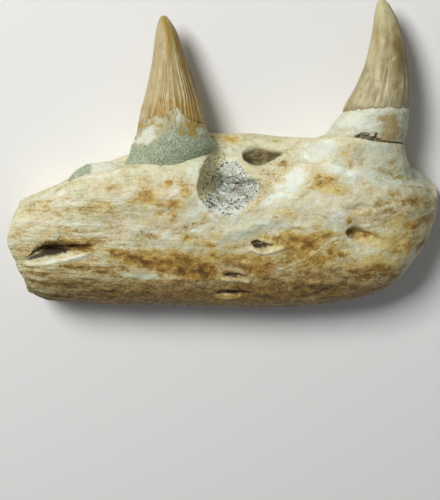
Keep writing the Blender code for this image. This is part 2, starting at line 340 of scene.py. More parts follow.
# Share of the way from the inner rim to the cheek rim, of the height, and of the thickness.
SECTION = np.array([
    (0.0, 1.00, 0.20),
    (0.5, 0.97, 0.50),
    (1.0, 0.99, 0.80),
    (1.0, 0.84, 0.96),
    (1.0, 0.56, 1.00),
    (1.0, 0.30, 0.95),
    (1.0, 0.10, 0.74),
    (0.5, 0.00, 0.34),
    (0.0, 0.06, 0.09),
    (0.0, 0.18, 0.01),
    (0.0, 0.36, -0.03),
    (0.0, 0.62, 0.04),
    (0.0, 0.90, -0.02),
])

# Where the broken rear end meets the side: places (Y, X).
BREAK_EDGE = np.array([
    (-29.5, -37.3),
    (-27.4, -37.5),
    (-25.0, -37.7),
    (-21.9, -38.0),
    (-18.4, -39.3),
    (-15.9, -40.4),
    (-13.3, -40.8),
    (-10.6, -40.1),
    (-8.9, -39.2),
    (-6.9, -37.4),
])


def jaw_cage():
    """Stations by section places: each height is measured up from the belly to its rim."""
    x, inner, cheek, belly_shade_and_stain, thickness = (column[:, None] for column in STATIONS.T)
    rim_share, height_share, thick_share = SECTION.T
    y = belly_shade_and_stain + (inner + (cheek - inner) * rim_share - belly_shade_and_stain) * height_share
    cage = np.stack(np.broadcast_arrays(x, y, thickness * thick_share), axis=-1).copy()
    cage[0, :, 0] = np.interp(cage[0, :, 1], *BREAK_EDGE.T)
    last = cage[-1]
    tip = CHIN_TIP + CHIN_TIP_SHARE * (last - last.mean(axis=0))
    return np.concatenate([cage, tip[None]])


# %% [markdown]
# The grid is finest where the eye goes: 0.2 mm at the tooth sockets, a little more along the
# cheek, and coarse on the side that lies on the floor.

# %% Rows along the jaw and columns around it
ROW_STEP = 0.31
SOCKET_ROW_STEP = 0.21
SOCKET_SPAN = (-5.5, 13.0)
TOP_STEP = 0.22
CHEEK_STEP = 0.29
FLOOR_STEP = 0.85
TOP_END, CHEEK_END, FLOOR_END = 4.3, 7.6, 12.6
TYPICAL_STATION = 6


def row_step(x):
    """The wished spacing of rows at X: fine over the sockets."""
    inside = smoothstep(SOCKET_SPAN[0] - 2, SOCKET_SPAN[0], x)
    inside = inside * smoothstep(SOCKET_SPAN[1] + 2, SOCKET_SPAN[1], x)
    return ROW_STEP + (SOCKET_ROW_STEP - ROW_STEP) * inside


def row_places():
    """Rows as places among the stations, from wished places in X."""
    x = np.append(STATIONS[:, 0], CHIN_TIP[0])
    fine = np.linspace(0, len(x) - 1, 2001)
    return np.interp(paced(x[0], x[-1], row_step), along(x, fine), fine)


def column_places(cage):
    """Columns as places round the section: the wished step over the length of one place."""
    fine = np.linspace(0, len(SECTION), 2001)
    ring = along(cage[TYPICAL_STATION], fine, closed=True)
    speed = np.linalg.norm(np.diff(ring, axis=0), axis=1) / np.diff(fine)

    def step(place):
        wished = np.where(place < TOP_END, TOP_STEP, CHEEK_STEP)
        wished = np.where((place > CHEEK_END) & (place < FLOOR_END), FLOOR_STEP, wished)
        return wished / np.interp(place, fine[:-1], speed)

    return paced(0, len(SECTION), step)[:-1]


# %% [markdown]
# The front tooth stands on a low pedestal of bone, a stack of ovals with a slanting top. Rays go
# out from a line inside the jaw through each point of the skin, and the skin moves out to the
# pedestal wherever the ray leaves that later. A soft maximum leaves a fillet between the two.

# %% The pedestal under the front tooth
# Height, then the middle in X and the half widths in X and Z.
PEDESTAL = np.array([
    (-12.0, 26.2, 11.0, 6.3),
    (0.4, 26.1, 10.0, 6.3),
    (3.0, 25.9, 8.9, 6.2),
    (4.6, 26.9, 7.6, 6.0),
    (9.0, 28.3, 6.4, 5.7),
])
PEDESTAL_TOP, PEDESTAL_MIDDLE_X = 4.6, 26.9
PEDESTAL_SLOPES = (-0.13, 0.25)
RAY_START, RAY_LENGTH, HALVINGS = (-9.0, 8.6), 24.0, 18
FILLET, TOP_FILLET = 2.6, 0.7


def soft_max(first, second, width):
    """The larger of two lengths, rounded where they are nearly the same."""
    near = np.clip(1 - np.abs(first - second) / width, 0, 1)
    return np.maximum(first, second) + near**2 * width / 4


def pedestal_reach(x, up, aside):
    """Length of a ray from the line inside the jaw to the pedestal's flank, by halving."""
    short, long = np.zeros_like(x), np.full_like(x, RAY_LENGTH)
    for _ in range(HALVINGS):
        middle = (short + long) / 2
        level = RAY_START[0] + middle * up - PEDESTAL_SLOPES[1] * middle * aside
        level = level - PEDESTAL_SLOPES[0] * (x - PEDESTAL_MIDDLE_X)
        centre, half_x, half_z = (np.interp(level, PEDESTAL[:, 0], c) for c in PEDESTAL.T[1:])
        inside = ((x - centre) / half_x) ** 2 + (middle * aside / half_z) ** 2 < 1
        short, long = np.where(inside, middle, short), np.where(inside, long, middle)
    return short


def raise_pedestal(grid):
    """The skin moved out to the pedestal along rays across the jaw."""
    x, away = grid[..., 0], grid[..., 1:] - RAY_START
    length = np.linalg.norm(away, axis=-1)
    up, aside = away[..., 0] / length, away[..., 1] / length
    rise = PEDESTAL_TOP - RAY_START[0] + PEDESTAL_SLOPES[0] * (x - PEDESTAL_MIDDLE_X)
    top = rise / np.maximum(up - PEDESTAL_SLOPES[1] * aside, 0.05)
    reach = -soft_max(-top, -pedestal_reach(x, up, aside), TOP_FILLET)
    reach = reach * smoothstep(-0.4, 0.1, up)
    raised = soft_max(length, reach, FILLET) / length
    return np.concatenate([grid[..., :1], RAY_START + away * raised[..., None]], axis=-1)


# %% [markdown]
# The rear end is broken across and shows a dense rim, spongy bone inside and the round nerve
# canal. Its rings shrink from the edge to the canal's oval and then turn into the canal.

# %% The broken end and the chin
CANAL = np.array([-17.6, 7.6])
CANAL_RADII = np.array([3.0, 3.2])
CANAL_DEPTH = 2.6
FACE_ROWS, CANAL_ROWS = 26, 8
FACE_HOLLOW = 0.5
CHIN_ROWS, CHIN_BULGE = 6, 0.25


def broken_end(edge):
    """Rings from inside the canal out to the broken edge, in the edge's own columns."""
    away = edge[:, 1:] - CANAL
    oval = CANAL + CANAL_RADII * away / np.linalg.norm(away, axis=1, keepdims=True)
    share = np.linspace(0, 1, FACE_ROWS, endpoint=False)[:, None]
    face = np.empty((FACE_ROWS, *edge.shape))
    face[..., 1:] = oval + (edge[:, 1:] - oval) * share[..., None]
    face[..., 0] = np.interp(face[..., 1], *BREAK_EDGE.T) + FACE_HOLLOW * (1 - share)
    inward = np.linspace(1, 0, CANAL_ROWS, endpoint=False)[:, None]
    canal = np.repeat(face[:1], CANAL_ROWS, axis=0)
    canal[..., 0] += CANAL_DEPTH * inward
    return np.concatenate([canal, face])


def chin_end(edge):
    """Rings that close the chin in a low dome."""
    middle = edge.mean(axis=0)
    share = np.linspace(1, 0, CHIN_ROWS + 2)[1:-1, None, None]
    rings = middle + (edge - middle) * share
    rings[..., 0] += CHIN_BULGE * (1 - share[..., 0] ** 2)
    return rings


def jaw_skin():
    """The whole smooth skin of the jaw as one grid, with the place of each row and column."""
    cage = jaw_cage()
    rows, columns = row_places(), column_places(cage)
    rings = np.swapaxes(along(cage, rows), 0, 1)
    loft = raise_pedestal(np.swapaxes(along(rings, columns, closed=True), 0, 1))
    return np.concatenate([broken_end(loft[0]), loft, chin_end(loft[-1])])


skin = jaw_skin()
OUTWARD = grid_normals(skin)
FACING = OUTWARD @ BACK > 0
FACING[: FACE_ROWS + CANAL_ROWS] = False
print("jaw grid:", skin.shape[:2], "lowest", skin[..., 2].min().round(2))

# %% [markdown]
# Next come the soft forms: the shelf of bone between the sockets, scoops and swellings. Each is
# a low oval hill or dip along the skin's own normal, plotted on the plate.

# %% Swellings and scoops
# X, Y, half length, half width, turn in degrees, height.
SWELLS = (
    (-2.3, 3.5, 2.3, 1.1, 40, 0.8),
    (12.2, -1.8, 6.5, 2.8, 46, -0.7),
    (13.8, 3.6, 6.0, 1.1, 28, 0.5),
    (-8.6, -18.4, 8.5, 2.0, -4, -0.35),
    (-9.0, -21.6, 5.0, 1.4, 0, 0.3),
    (26.5, -12.6, 3.4, 2.4, -20, -0.5),
    (25.6, -7.0, 2.4, 0.9, 15, -0.35),
    (21.5, -8.6, 2.8, 2.2, 0, 0.35),
    (9.0, -11.8, 4.6, 2.0, 18, -0.35),
    (-31.0, -15.2, 8.0, 2.6, 10, -0.35),
    (-30.0, -18.4, 7.0, 0.9, 4, 0.35),
    (5.0, -10.6, 5.5, 1.2, 18, 0.4),
    (-14.0, -4.0, 8.0, 3.0, 0, 0.3),
)


def swell(grid):
    """Moves the facing skin along its normals by every oval hill and dip."""
    height = hills(on_plate(grid), SWELLS) * FACING
    return grid + OUTWARD * height[..., None]


# %% [markdown]
# Sockets, the replacement pit and the nerve holes are bowls sunk in from an outline. A point
# inside the outline moves along the hole's own direction, by the cosine of its share of the way
# to the rim, and outwards by the sine, so that the wall gets as many points as the floor.


# %% Bowls sunk into the skin
def outline_reach(outline, angle):
    """Distance from an outline's middle to the outline, for each angle about the middle."""
    loop = along(outline, np.arange(0, len(outline), 0.1), closed=True) - outline.mean(axis=0)
    angles = np.arctan2(loop[:, 1], loop[:, 0])
    order = np.argsort(angles)
    return np.interp(angle, angles[order], np.linalg.norm(loop, axis=1)[order], period=2 * np.pi)


def sink(grid, outline, depth, direction, steep, gentle=(0.0, 0.0), *, ragged, seed):
    """Sinks the skin inside an outline: depth x cosine ** steep along the direction. Gentle is
    an angle in degrees, and how much softer the rim is there. Also gives the share of depth."""
    outline = np.asarray(outline, float)
    direction = np.asarray(direction, float) / np.linalg.norm(direction)
    sideways = np.cross(direction, [1.0, 0.0, 0.0])
    plate = on_plate(grid)
    away = plate - outline.mean(axis=0)
    angle = np.arctan2(away[..., 1], away[..., 0])
    share = np.linalg.norm(away, axis=-1) / outline_reach(outline, angle)
    share = share * (1 + ragged * fractal(grid, 1.6, seed))
    inside = (share < 1) & FACING
    turn = np.clip(share, 0, 1) * math.pi / 2
    spread = np.sin(turn) / np.maximum(share, 1e-6) - 1
    softer = np.clip(np.cos(angle - math.radians(gentle[0])), 0, 1)
    drop = np.where(inside, np.cos(turn) ** (steep + gentle[1] * softer), 0.0)
    moved = np.zeros_like(grid)
    moved[..., 0] = away[..., 0] * spread
    moved += (away[..., 1] * spread)[..., None] * sideways
    return grid + np.where(inside[..., None], moved, 0) + depth * drop[..., None] * direction, drop


# Outlines on the plate, each with its depth, direction and steepness.
SOCKET = (
    ((-4.4, -0.9), (-4.7, -3.0), (-3.6, -5.6), (-1.8, -7.7), (0.5, -8.8), (3.0, -8.2),
     (5.3, -6.9), (7.2, -5.1), (8.3, -2.8), (7.8, -0.4), (5.6, 1.1), (3.3, 3.0),
     (0.8, 4.5), (-2.2, 4.1), (-3.7, 1.8)),
    8.0, (0.0, -0.28, -0.96), 1.5, (35.0, 1.4),
)
SMALL_PIT = (
    ((3.9, 4.5), (3.8, 3.0), (4.8, 1.8), (6.8, 1.2), (8.6, 1.9), (10.4, 3.2),
     (11.6, 4.7), (9.6, 5.3), (7.4, 5.9), (5.4, 5.5)),
    4.0, (0.05, -0.7, -0.7), 1.3, (20.0, 0.8),
)
HOLES = {
    "rear slot": (
        ((-36.9, -16.7), (-35.7, -15.5), (-34.3, -14.2), (-32.4, -13.4), (-29.6, -12.7),
         (-25.8, -12.4), (-23.0, -12.8), (-23.6, -14.2), (-25.3, -15.0), (-27.8, -15.7),
         (-30.7, -16.5), (-33.5, -17.2), (-35.8, -17.5)),
        2.6, (-0.1, -0.05, -0.99), 1.6, (25.0, 2.0),
    ),
    "rear slot throat": (
        ((-34.2, -15.4), (-33.2, -14.4), (-31.7, -13.8), (-30.2, -13.8), (-28.9, -14.4),
         (-29.3, -15.2), (-30.6, -15.8), (-32.2, -16.2), (-33.5, -16.2)),
        1.3, (-0.25, 0.0, -0.97), 1.6, (60.0, 0.8),
    ),
    "middle slot": (
        ((5.6, -13.5), (6.6, -13.0), (7.6, -13.2), (8.8, -13.5), (10.3, -14.1), (9.2, -14.6),
         (7.6, -15.0), (6.6, -14.8), (5.9, -14.3)),
        1.5, (-0.1, 0.2, -0.97), 0.8, (20.0, 1.2),
    ),
    "front hole": (
        ((23.5, -11.6), (24.0, -10.5), (25.4, -10.0), (27.2, -10.7), (28.7, -12.0), (28.4, -13.2),
         (26.9, -13.8), (25.2, -13.5), (24.0, -12.8)),
        2.1, (-0.3, 0.0, -0.95), 1.7, (0.0, 1.6),
    ),
    "lower slit": (
        ((0.2, -20.2), (1.2, -19.7), (2.6, -19.6), (3.9, -20.0), (4.6, -20.5), (3.4, -20.7),
         (1.9, -20.8), (0.8, -20.6)),
        0.9, (0.2, 0.4, -0.9), 0.7,
    ),
    "lowest slit": (
        ((-0.9, -23.9), (0.8, -23.6), (2.8, -23.6), (5.5, -23.9), (3.1, -24.2), (0.8, -24.2)),
        0.8, (0.2, 0.5, -0.84), 0.6,
    ),
}

skin = swell(skin)
skin, in_socket = sink(skin, *SOCKET, ragged=0.035, seed=5)
skin, in_pit = sink(skin, *SMALL_PIT, ragged=0.06, seed=9)
in_holes = {}
for number, (name, hole) in enumerate(HOLES.items()):
    skin, in_holes[name] = sink(skin, *hole, ragged=0.12, seed=20 + number)
print("socket points:", int((in_socket > 0).sum()), "pit points:", int((in_pit > 0).sum()))

# %% [markdown]
# Fine relief goes on last, along the normals of the sunk skin: long fibres at the rear, where
# the bone's surface has weathered away, wrinkles everywhere, open pores in the socket, raised
# lips under the nerve holes, and one healed crack that runs up towards the front hole.

# %% Fine relief
CRACK = ((10.4, -19.1), (11.8, -18.9), (13.3, -18.1), (16.3, -16.7), (18.7, -14.8),
         (20.6, -13.4), (21.7, -12.8))
# Each lip is a line, its half width and its height.
LIPS = (
    (((-36.6, -18.0), (-33.5, -18.0), (-30.7, -17.3), (-27.8, -16.6), (-25.7, -15.9)), 0.5, 0.40),
    (((5.6, -15.0), (6.7, -15.5), (8.2, -15.7), (9.9, -15.2), (11.6, -14.5)), 0.38, 0.35),
    (((0.2, -20.9), (1.8, -21.3), (3.7, -21.3), (5.2, -21.5)), 0.28, 0.28),
    (((-1.1, -24.5), (0.4, -24.9), (2.2, -24.8), (3.5, -24.5)), 0.30, 0.3),
    (((25.5, -10.3), (26.6, -10.6), (27.9, -10.2)), 0.18, 0.2),
)
CRACK_WIDTH, CRACK_RISE = 0.2, 0.2
CRACK_FURROW_SHIFT, CRACK_FURROW_WIDTH, CRACK_FURROW_DEPTH = np.array([0.12, -0.28]), 0.16, 0.16
FIBRE_REAR, FIBRE_FRONT = -26.0, -10.0
SPONGE_LEFT, SPONGE_DEPTH = (-4.6, -1.5), 0.32
# Plotted in pixels: where the pedestal and the chin's upper edge have crumbled.
CRUMBLED_PARTS = (
    (362, 162, 26, 12, -10, 1.0), (396, 177, 30, 8, -12, 0.9), (420, 190, 14, 6, -20, 0.7),
    (235, 143, 24, 6, 0, 0.5),
)


def weathered(grid):
    """Height in mm of the worn surface, and its masks: long fibres and the splits between them
    at the rear, then wrinkles, shallow chips and pits, each a noise of its own size."""
    fibrous = smoothstep(FIBRE_FRONT, FIBRE_REAR, grid[..., 0])
    strands = fractal(grid, (9.0, 1.1, 1.1), seed=40)
    splits = 1 - smoothstep(0.0, 0.22, np.abs(fractal(grid, (11.0, 0.9, 0.9), seed=50, octaves=3)))
    height = fibrous * (0.10 * strands - 0.16 * splits)
    height += 0.16 * fractal(grid, (5.0, 3.4, 3.4), seed=60)
    height += 0.08 * fractal(grid, (1.6, 1.2, 1.2), seed=70)
    chipped = smoothstep(0.05, 0.45, fractal(grid, (2.6, 1.8, 1.8), seed=75, octaves=5))
    height -= 0.13 * chipped * (1 - 0.6 * fibrous)
    pitted = smoothstep(0.0, 0.5, fractal(grid, (7.0, 5.0, 5.0), seed=80))
    pits = pores(grid, (1.5, 0.9, 0.9), 0.36, 0.55, seed=90)
    height -= 0.22 * pits * (0.3 + 0.7 * pitted)
    return height, {"fibrous": fibrous, "splits": splits, "pits": pits, "chipped": chipped}


def socket_sponge(grid, plate):
    """Open pores in the socket: the larger of smooth noise and round pores, fewer at its left."""
    sponge = smoothstep(0.0, 0.35, fractal(grid, 1.0, seed=100, octaves=3))
    sponge = np.maximum(sponge, pores(grid, 0.9, 0.5, 0.7, seed=105))
    return sponge * smoothstep(0.05, 0.45, in_socket) * smoothstep(*SPONGE_LEFT, plate[..., 0])


def raised_lines(plate):
    """Height in mm and mask of the lips and of the healed crack: bells across each line, and for
    the crack a furrow along its lower side."""
    height, lips = np.zeros(plate.shape[:-1]), np.zeros(plate.shape[:-1])
    for line, width, rise in LIPS:
        lip = np.exp(-((line_distance(plate, line) / width) ** 2)) * FACING
        lips, height = np.maximum(lips, lip), height + rise * lip
    ridge = np.exp(-((line_distance(plate, CRACK) / CRACK_WIDTH) ** 2)) * FACING
    below = line_distance(plate - CRACK_FURROW_SHIFT, CRACK)
    furrow = np.exp(-((below / CRACK_FURROW_WIDTH) ** 2)) * FACING
    height += CRACK_RISE * ridge - CRACK_FURROW_DEPTH * furrow
    return height, np.maximum(lips, 0.9 * ridge)


def fine_relief(grid, plate):
    """Height of all the fine relief in mm, and the masks that colour it."""
    height, fine = weathered(grid)
    fine["sponge"] = socket_sponge(grid, plate)
    smooth_inside = np.maximum(in_socket, in_pit) > 0
    height = np.where(smooth_inside, 0.5 * height, height) - SPONGE_DEPTH * fine["sponge"]
    lines, fine["lips"] = raised_lines(plate)
    (crumbly,) = patches(plate, CRUMBLED_PARTS, 0.0)
    crumbs = fractal(grid, (1.3, 0.9, 0.9), seed=120, octaves=4)
    crumbs = 0.20 * crumbs - 0.14 * smoothstep(0.1, 0.4, crumbs)
    return height + lines + np.clip(crumbly, 0, 1) * crumbs, fine


# The nerve groove along the inner side: X, its middle in Y and its radius.
GROOVE = np.array([(-46.0, -24.6, 2.5), (-25.0, -25.2, 2.3), (-5.0, -25.6, 2.0),
                   (12.0, -25.0, 1.6), (24.0, -23.0, 0.8)])


def lie_on_floor(grid):
    """Flattens what would sink into the floor, and arches the skin over the inner groove."""
    x, y, z = np.moveaxis(grid, -1, 0)
    middle = np.interp(x, GROOVE[:, 0], GROOVE[:, 1])
    radius = np.interp(x, GROOVE[:, 0], GROOVE[:, 2], right=0)
    arch = np.sqrt(np.clip(radius**2 - (y - middle) ** 2, 0, None))
    z = np.maximum(z, np.where(z < radius + 0.5, arch, 0))
    return np.stack([x, y, np.maximum(z, 0)], axis=-1)


BREAK_SPONGE_DEPTH = 0.3
plate = on_plate(skin)
relief, fine = fine_relief(skin, plate)
spongy = pores(skin, (1.2, 0.7, 0.7), 0.45, 0.8, seed=110)[: FACE_ROWS + CANAL_ROWS]
relief[: FACE_ROWS + CANAL_ROWS] -= BREAK_SPONGE_DEPTH * spongy
jaw = lie_on_floor(puffed(skin, relief))
print("relief from", relief.min().round(2), "to", relief.max().round(2), "mm")

# %% [markdown]
# ## Colour of the bone
# Fossil bone is stained by what seeped through the rock, and its colours lie on one line: chalk
# white where it was scrubbed, cream, tan, ochre, and brown where iron gathered. So one number
# in the mesh, the stain, says how far along that line each point is, and a second one, the hue,
# pulls it towards ochre or towards cool grey. Ragged ovals set both where the photo shows a
# patch, and noise of several sizes breaks them up. A list of ovals is the plain way to note
# markings: each can be moved or weakened on its own.
# The stain also carries painted shade: the lower part, the belly, the chin's front and the deeper
# parts of the holes are darkened along the same line of colours.

# %% Stains plotted
# Pixels of the picture, across and down: X, Y, half length, half width. Then the turn in
# degrees, how much darker (or, below 0, paler), and the hue, from -1 for cool to 1 for ochre.
STAINS = (
    # The rear end, along the fibres.
    (101, 172, 14, 5, 0, -0.55, -0.3), (80, 173, 9, 4, 25, -0.15, -0.8),
    (82, 182, 8, 2.5, 5, 0.32, 0.2), (64, 187, 9, 3, 20, 0.15, 0.2),
    (84, 192, 9, 5, 0, -0.05, -0.3), (108, 187, 9, 4, 0, 0.35, 0.2),
    (52, 195, 15, 3.5, 10, -0.45, -0.2), (70, 203, 17, 4.5, 2, -0.5, -0.3),
    (68, 198.5, 5, 1.3, 8, 0.55, 0), (45, 201, 9, 0.9, 0, 0.4, 0.2),
    (43, 206, 6, 1.3, 0, 0.35, 0.3), (31, 210, 9, 1.5, 0, 0.45, 0.3),
    (60, 211, 16, 4, 0, 0.16, 0.3), (91, 209, 13, 7, 0, 0.22, 0.2),
    (58, 223, 20, 3.2, -3, -0.5, -0.2), (86, 225, 12, 4, 0, -0.22, 0),
    (27, 225, 9, 1.6, 5, 0.4, 0.2), (22, 217, 6, 1, 0, 0.3, 0.2), (31, 238, 12, 8, 0, -0.02, 0.1),
    (74, 230, 20, 4, 0, 0.2, -0.2), (44, 245, 6, 2.6, 30, 0.5, -0.2),
    (72, 242, 16, 4.5, 5, 0.8, 0.5), (92, 240, 9, 3.5, 0, 0.55, 0.5),
    (86, 250, 9, 3, -10, 0.5, 0.4), (100, 244, 4, 4, 0, 0.3, 0.3), (24, 251, 8, 8, 60, 0.28, 0.3),
    # The pale rows at 58, 260.5 and at 80, 257 lie on the rear slot's lower lip: painted
    # highlight.
    (11, 245, 3, 3, 0, -0.3, -0.4), (58, 260.5, 22, 2, 6, -0.75, -0.2),
    (80, 257, 9, 2.2, 10, -0.7, -0.2), (30, 267, 12, 1.8, -4, 0.65, 0),
    (46, 265, 9, 2, 0, 0.35, 0.2), (25, 273, 10, 1.5, -6, 0.65, 0), (41, 275, 11, 1, -4, 0.5, 0),
    (75, 268.5, 14, 2.8, -4, 0.9, 0.4), (97, 271, 16, 1.4, -6, 0.75, 0.1),
    (110, 271.5, 8, 1, 0, 0.4, 0), (95, 261, 9, 1, 0, 0.45, -0.2),
    (52, 272, 10, 1.8, 0, -0.2, -0.2), (36, 278, 18, 1.8, -4, -0.35, -0.1),
    (80, 275.5, 16, 2, -2, -0.2, -0.2), (30, 281, 13, 1, -4, 0.8, 0),
    (52, 284, 16, 1.8, -5, 0.5, 0), (71, 286, 7, 2.4, 0, 0.7, 0), (91, 286, 9, 2, -10, 0.6, 0),
    (98, 290.5, 7, 1.3, 0, 0.6, 0), (48, 291, 9, 3, -30, -0.1, -0.2),
    (85, 291, 13, 2, -5, 0.05, -0.2), (60, 295, 14, 1.6, 0, 0.5, 0.2),
    (30, 295, 14, 2.4, -20, 0.2, 0.3), (113, 291, 10, 1.5, 0, 0.6, 0),
    # Below and behind the rear tooth.
    (140, 178, 15, 6, 0, 0.1, -0.1), (125, 187, 10, 4, 0, 0.16, 0),
    (128, 170, 16, 2.5, 3, -0.35, -0.1), (125, 197, 12, 4, 10, -0.3, 0),
    (168, 184, 5, 5, 0, 0.5, 0.7), (171, 183, 2.4, 1.6, 0, 0.5, 0.4),
    (183, 184, 5.5, 3.4, 0, 0.6, 0.3), (186, 193, 5, 5, -30, 0.65, 0.7),
    (178, 201, 4, 2, 0, 0.45, 0.8), (174, 193, 8, 1.8, 40, -0.75, -0.1),
    (147, 196, 13, 6, 10, 0.4, 0.4), (160, 203, 15, 4, -5, 0.5, 0.4),
    (174, 207, 5, 11, 0, 0.5, 0.4), (158, 213, 6, 4, 0, 0.4, 0.2), (172, 216, 5, 5, 0, 0.4, 0.4),
    (133, 203, 9, 3, 0, 0.2, 0.4), (104, 207, 12, 5, 0, 0.2, 0.3), (151, 207, 5, 3, 0, -0.3, 0),
    (183, 207, 8, 8, 0, -0.1, 0.5), (193, 171, 7, 10, 0, -0.55, -0.6),
    (196, 183, 3, 5, -20, 0.1, -0.7), (203, 204, 6, 9, 0, -0.85, -0.5),
    (193, 214, 9, 7, 0, -0.5, -0.3), (110, 216, 11, 9, 0, 0.25, -0.1),
    (128, 213, 12, 8, 0, 0.12, -0.1), (142, 230, 15, 5, -5, -0.35, -0.5),
    (166, 235, 10, 4, -15, -0.45, -0.5), (130, 245, 10, 5, -15, -0.4, -0.4),
    (158, 245, 14, 4, 0, -0.3, -0.3), (150, 236, 9, 2.6, -15, 0.55, -0.2),
    (160, 228, 7, 3, 0, 0.45, -0.2), (137, 246, 6, 1.4, 0, 0.5, 0),
    (105, 240, 6, 5, 0, 0.2, 0.3), (170, 224, 7, 4, 0, 0.25, 0),
    # The long brown band, and the pale one under it.
    (185, 238, 14, 7, 0, 0.22, 0.5), (202, 244, 12, 5, 0, 0.25, 0.5),
    (211, 245.5, 3.2, 2.6, 0, 0.75, 0.8), (213, 253, 5, 4, 0, 0.35, 0.8),
    (120, 254, 12, 5.5, -10, 0.85, 0.4), (113, 258, 7, 3.5, 0, 0.4, 0.4),
    (136, 259, 11, 4.5, -20, 0.7, 0.2), (145, 253, 13, 3, -25, 0.35, 0),
    (150, 264, 13, 4, -12, 0.7, 0.2), (148, 267, 11, 2, -10, 0.75, 0),
    (164, 263, 9, 6, -20, 0.6, 0.6), (160, 270, 10, 2, -5, 0.55, 0.3),
    (176, 273, 13, 2.6, -8, 0.75, 0.2), (190, 262, 15, 5.5, -10, 0.7, 0.6),
    (196, 273, 17, 5, -10, 0.8, 0.6), (207, 268, 10, 8, -20, 0.55, 0.6),
    (176, 262, 0.8, 8, 0, 0.5, 0), (145, 277.5, 20, 4, 0, -0.25, -0.3),
    (118, 277, 15, 4, 0, 0, -0.3), (115, 275, 6, 1.8, 0, 0.5, 0.2),
    (135, 278, 6, 1.8, 0, 0.35, 0.2), (161, 276, 4, 2.2, -15, 0.8, 0),
    (168, 276.5, 3, 2, 0, -0.7, 0), (181, 281.5, 13, 1.2, -12, 0.9, 0),
    (146, 285.5, 9, 1.2, -12, 0.8, 0), (100, 272, 9, 1.6, -6, 0.7, 0),
    (165, 285, 26, 2.2, 0, 0, -0.4), (205, 285, 15, 4, 0, 0.15, -0.5),
    (172, 257, 6, 4, 0, 0.4, 0.3),
    # Round the empty socket.
    (225, 139.5, 11, 4, -5, 0.55, 0.8), (240, 142, 13, 5, 0, 0, 0.4),
    (206, 136, 8, 2, 0, 0.6, 0.3), (263, 139, 13, 3, 0, -0.15, 0.1),
    (276, 141, 11, 2, -5, 0.3, 0.2), (235, 150, 10, 4, 0, -0.35, -0.4),
    (206, 159, 11, 6, 35, -0.35, -0.2), (285, 153, 9, 3, 25, -0.1, -0.2),
    (282, 164, 5, 2.6, 10, 0.6, 0.2), (290, 149, 7, 1.4, 20, 0.5, 0.3),
    (297, 144, 5, 2, 30, 0.3, 0.2), (288, 187, 25, 10, 50, -1, -0.3),
    (301, 173, 8, 10, 0, -0.8, -0.4), (320, 150, 21, 10, 0, -0.9, -0.5),
    (270, 200, 12, 3.4, 35, -0.8, -0.2), (284.5, 192, 1.7, 1.5, 30, 1.1, 0.2),
    (262, 192, 14, 2.6, 52, 0.25, 0.2), (201, 228, 15, 2.4, 22, -0.65, -0.2),
    (195, 224, 3.5, 1.8, 20, 0.5, 0), (187, 228, 1.3, 3.5, -25, 0.7, 0),
    (240, 226, 26, 5, 4, -0.12, -0.1), (240, 237, 16, 5, 5, -0.4, -0.4),
    (273, 225, 13, 4, 0, -0.45, -0.3), (302, 224, 17, 4, 0, -0.45, -0.3),
    (250, 215, 9, 4, 15, 0.15, 0), (275, 217, 4.5, 2, 0, 0.55, 0.3),
    (286, 212, 14, 5, -5, 0.2, 0.4), (262, 213, 7, 6, 0, 0.15, 0), (216, 235, 9, 5, 0, 0.12, 0.5),
    (228, 220.5, 18, 1.6, 0, -0.5, -0.2), (309, 207, 12, 5, 0, -0.2, 0),
    # A second coat over marks that came out too weak.
    (48, 244, 12, 3, 16, 1.2, 0.2), (84, 245, 14, 5, 6, 0.3, 0.5), (42, 273, 26, 3, -4, 0.4, 0.2),
    (60, 283, 34, 6, -4, 0.45, -0.5), (100, 268, 34, 2.4, -6, 0.4, 0.2),
    (165, 266, 36, 8, -10, 0.35, 0.5), (196, 270, 24, 9, -8, 0.35, 0.6),
    (214, 218, 2, 9, 48, -0.7, -0.2), (240, 217, 12, 1.4, 20, -0.6, -0.2),
    (150, 277, 24, 3, -4, -0.5, -0.4), (196, 284, 14, 3, 0, -0.35, -0.6),
    # Broad washes under them all.
    (50, 290, 40, 5, -4, -0.2, -0.5), (385, 165, 44, 22, -10, -0.12, -0.7),
    (240, 226, 40, 8, 8, -0.2, -0.2), (345, 205, 60, 26, -10, -0.06, 0),
    (388, 248, 32, 22, 0, -0.12, 0.5), (330, 190, 30, 10, 0, -0.1, 0),
    (300, 246, 58, 18, 0, 0.30, 0.5), (345, 268, 60, 10, 4, 0.15, 0.4),
    (150, 256, 60, 12, -5, 0.12, 0.4), (60, 208, 44, 12, 0, 0.12, -0.15),
    (150, 200, 40, 16, 0, 0.05, 0.1), (45, 250, 40, 26, 0, 0.15, 0),
    (55, 287, 60, 13, -3, 0.1, -0.6), (190, 286, 46, 5, 0, -0.15, -0.5),
    (180, 258, 60, 9, -4, 0.25, 0.3), (270, 262, 50, 8, 0, 0.25, 0.4),
    (410, 225, 26, 34, 0, 0.08, 0.3),
    # Under the holes, towards the belly.
    # This pale row lies on the lowest slit's lower lip: painted highlight.
    (228, 294.5, 11, 1.8, 0, -1.0, -0.3),
    (298, 228, 6, 2.4, 0, 0.55, 0.1), (317, 225, 6, 8, 0, 0.35, 0.4),
    (270, 237, 12, 4, -5, 0.55, 0.2), (286, 233, 7, 3, 0, 0.35, 0.2),
    (286, 241, 12, 6, 0, 0.38, 0.4), (298, 244, 7, 9, 0, 0.5, 0.4),
    (311, 243, 11, 7, 0, 0.8, 0.8), (308, 246, 6, 5, 0, 0.45, 0.6),
    (325, 233, 12, 4, 10, 0.55, 0.7), (300, 253, 9, 5, -10, 0.5, 0.4),
    (330, 252, 4.5, 3, -30, 0.9, 1), (341, 254, 6, 3, -10, 0.9, 1),
    (334, 246, 4, 3, 0, 0.45, 0.8), (320, 259, 13, 4, 0, 0.6, 0.5),
    (235, 247, 11, 3.4, 5, 0.42, 0.3), (226, 256, 19, 6, -5, 0.35, 0.3),
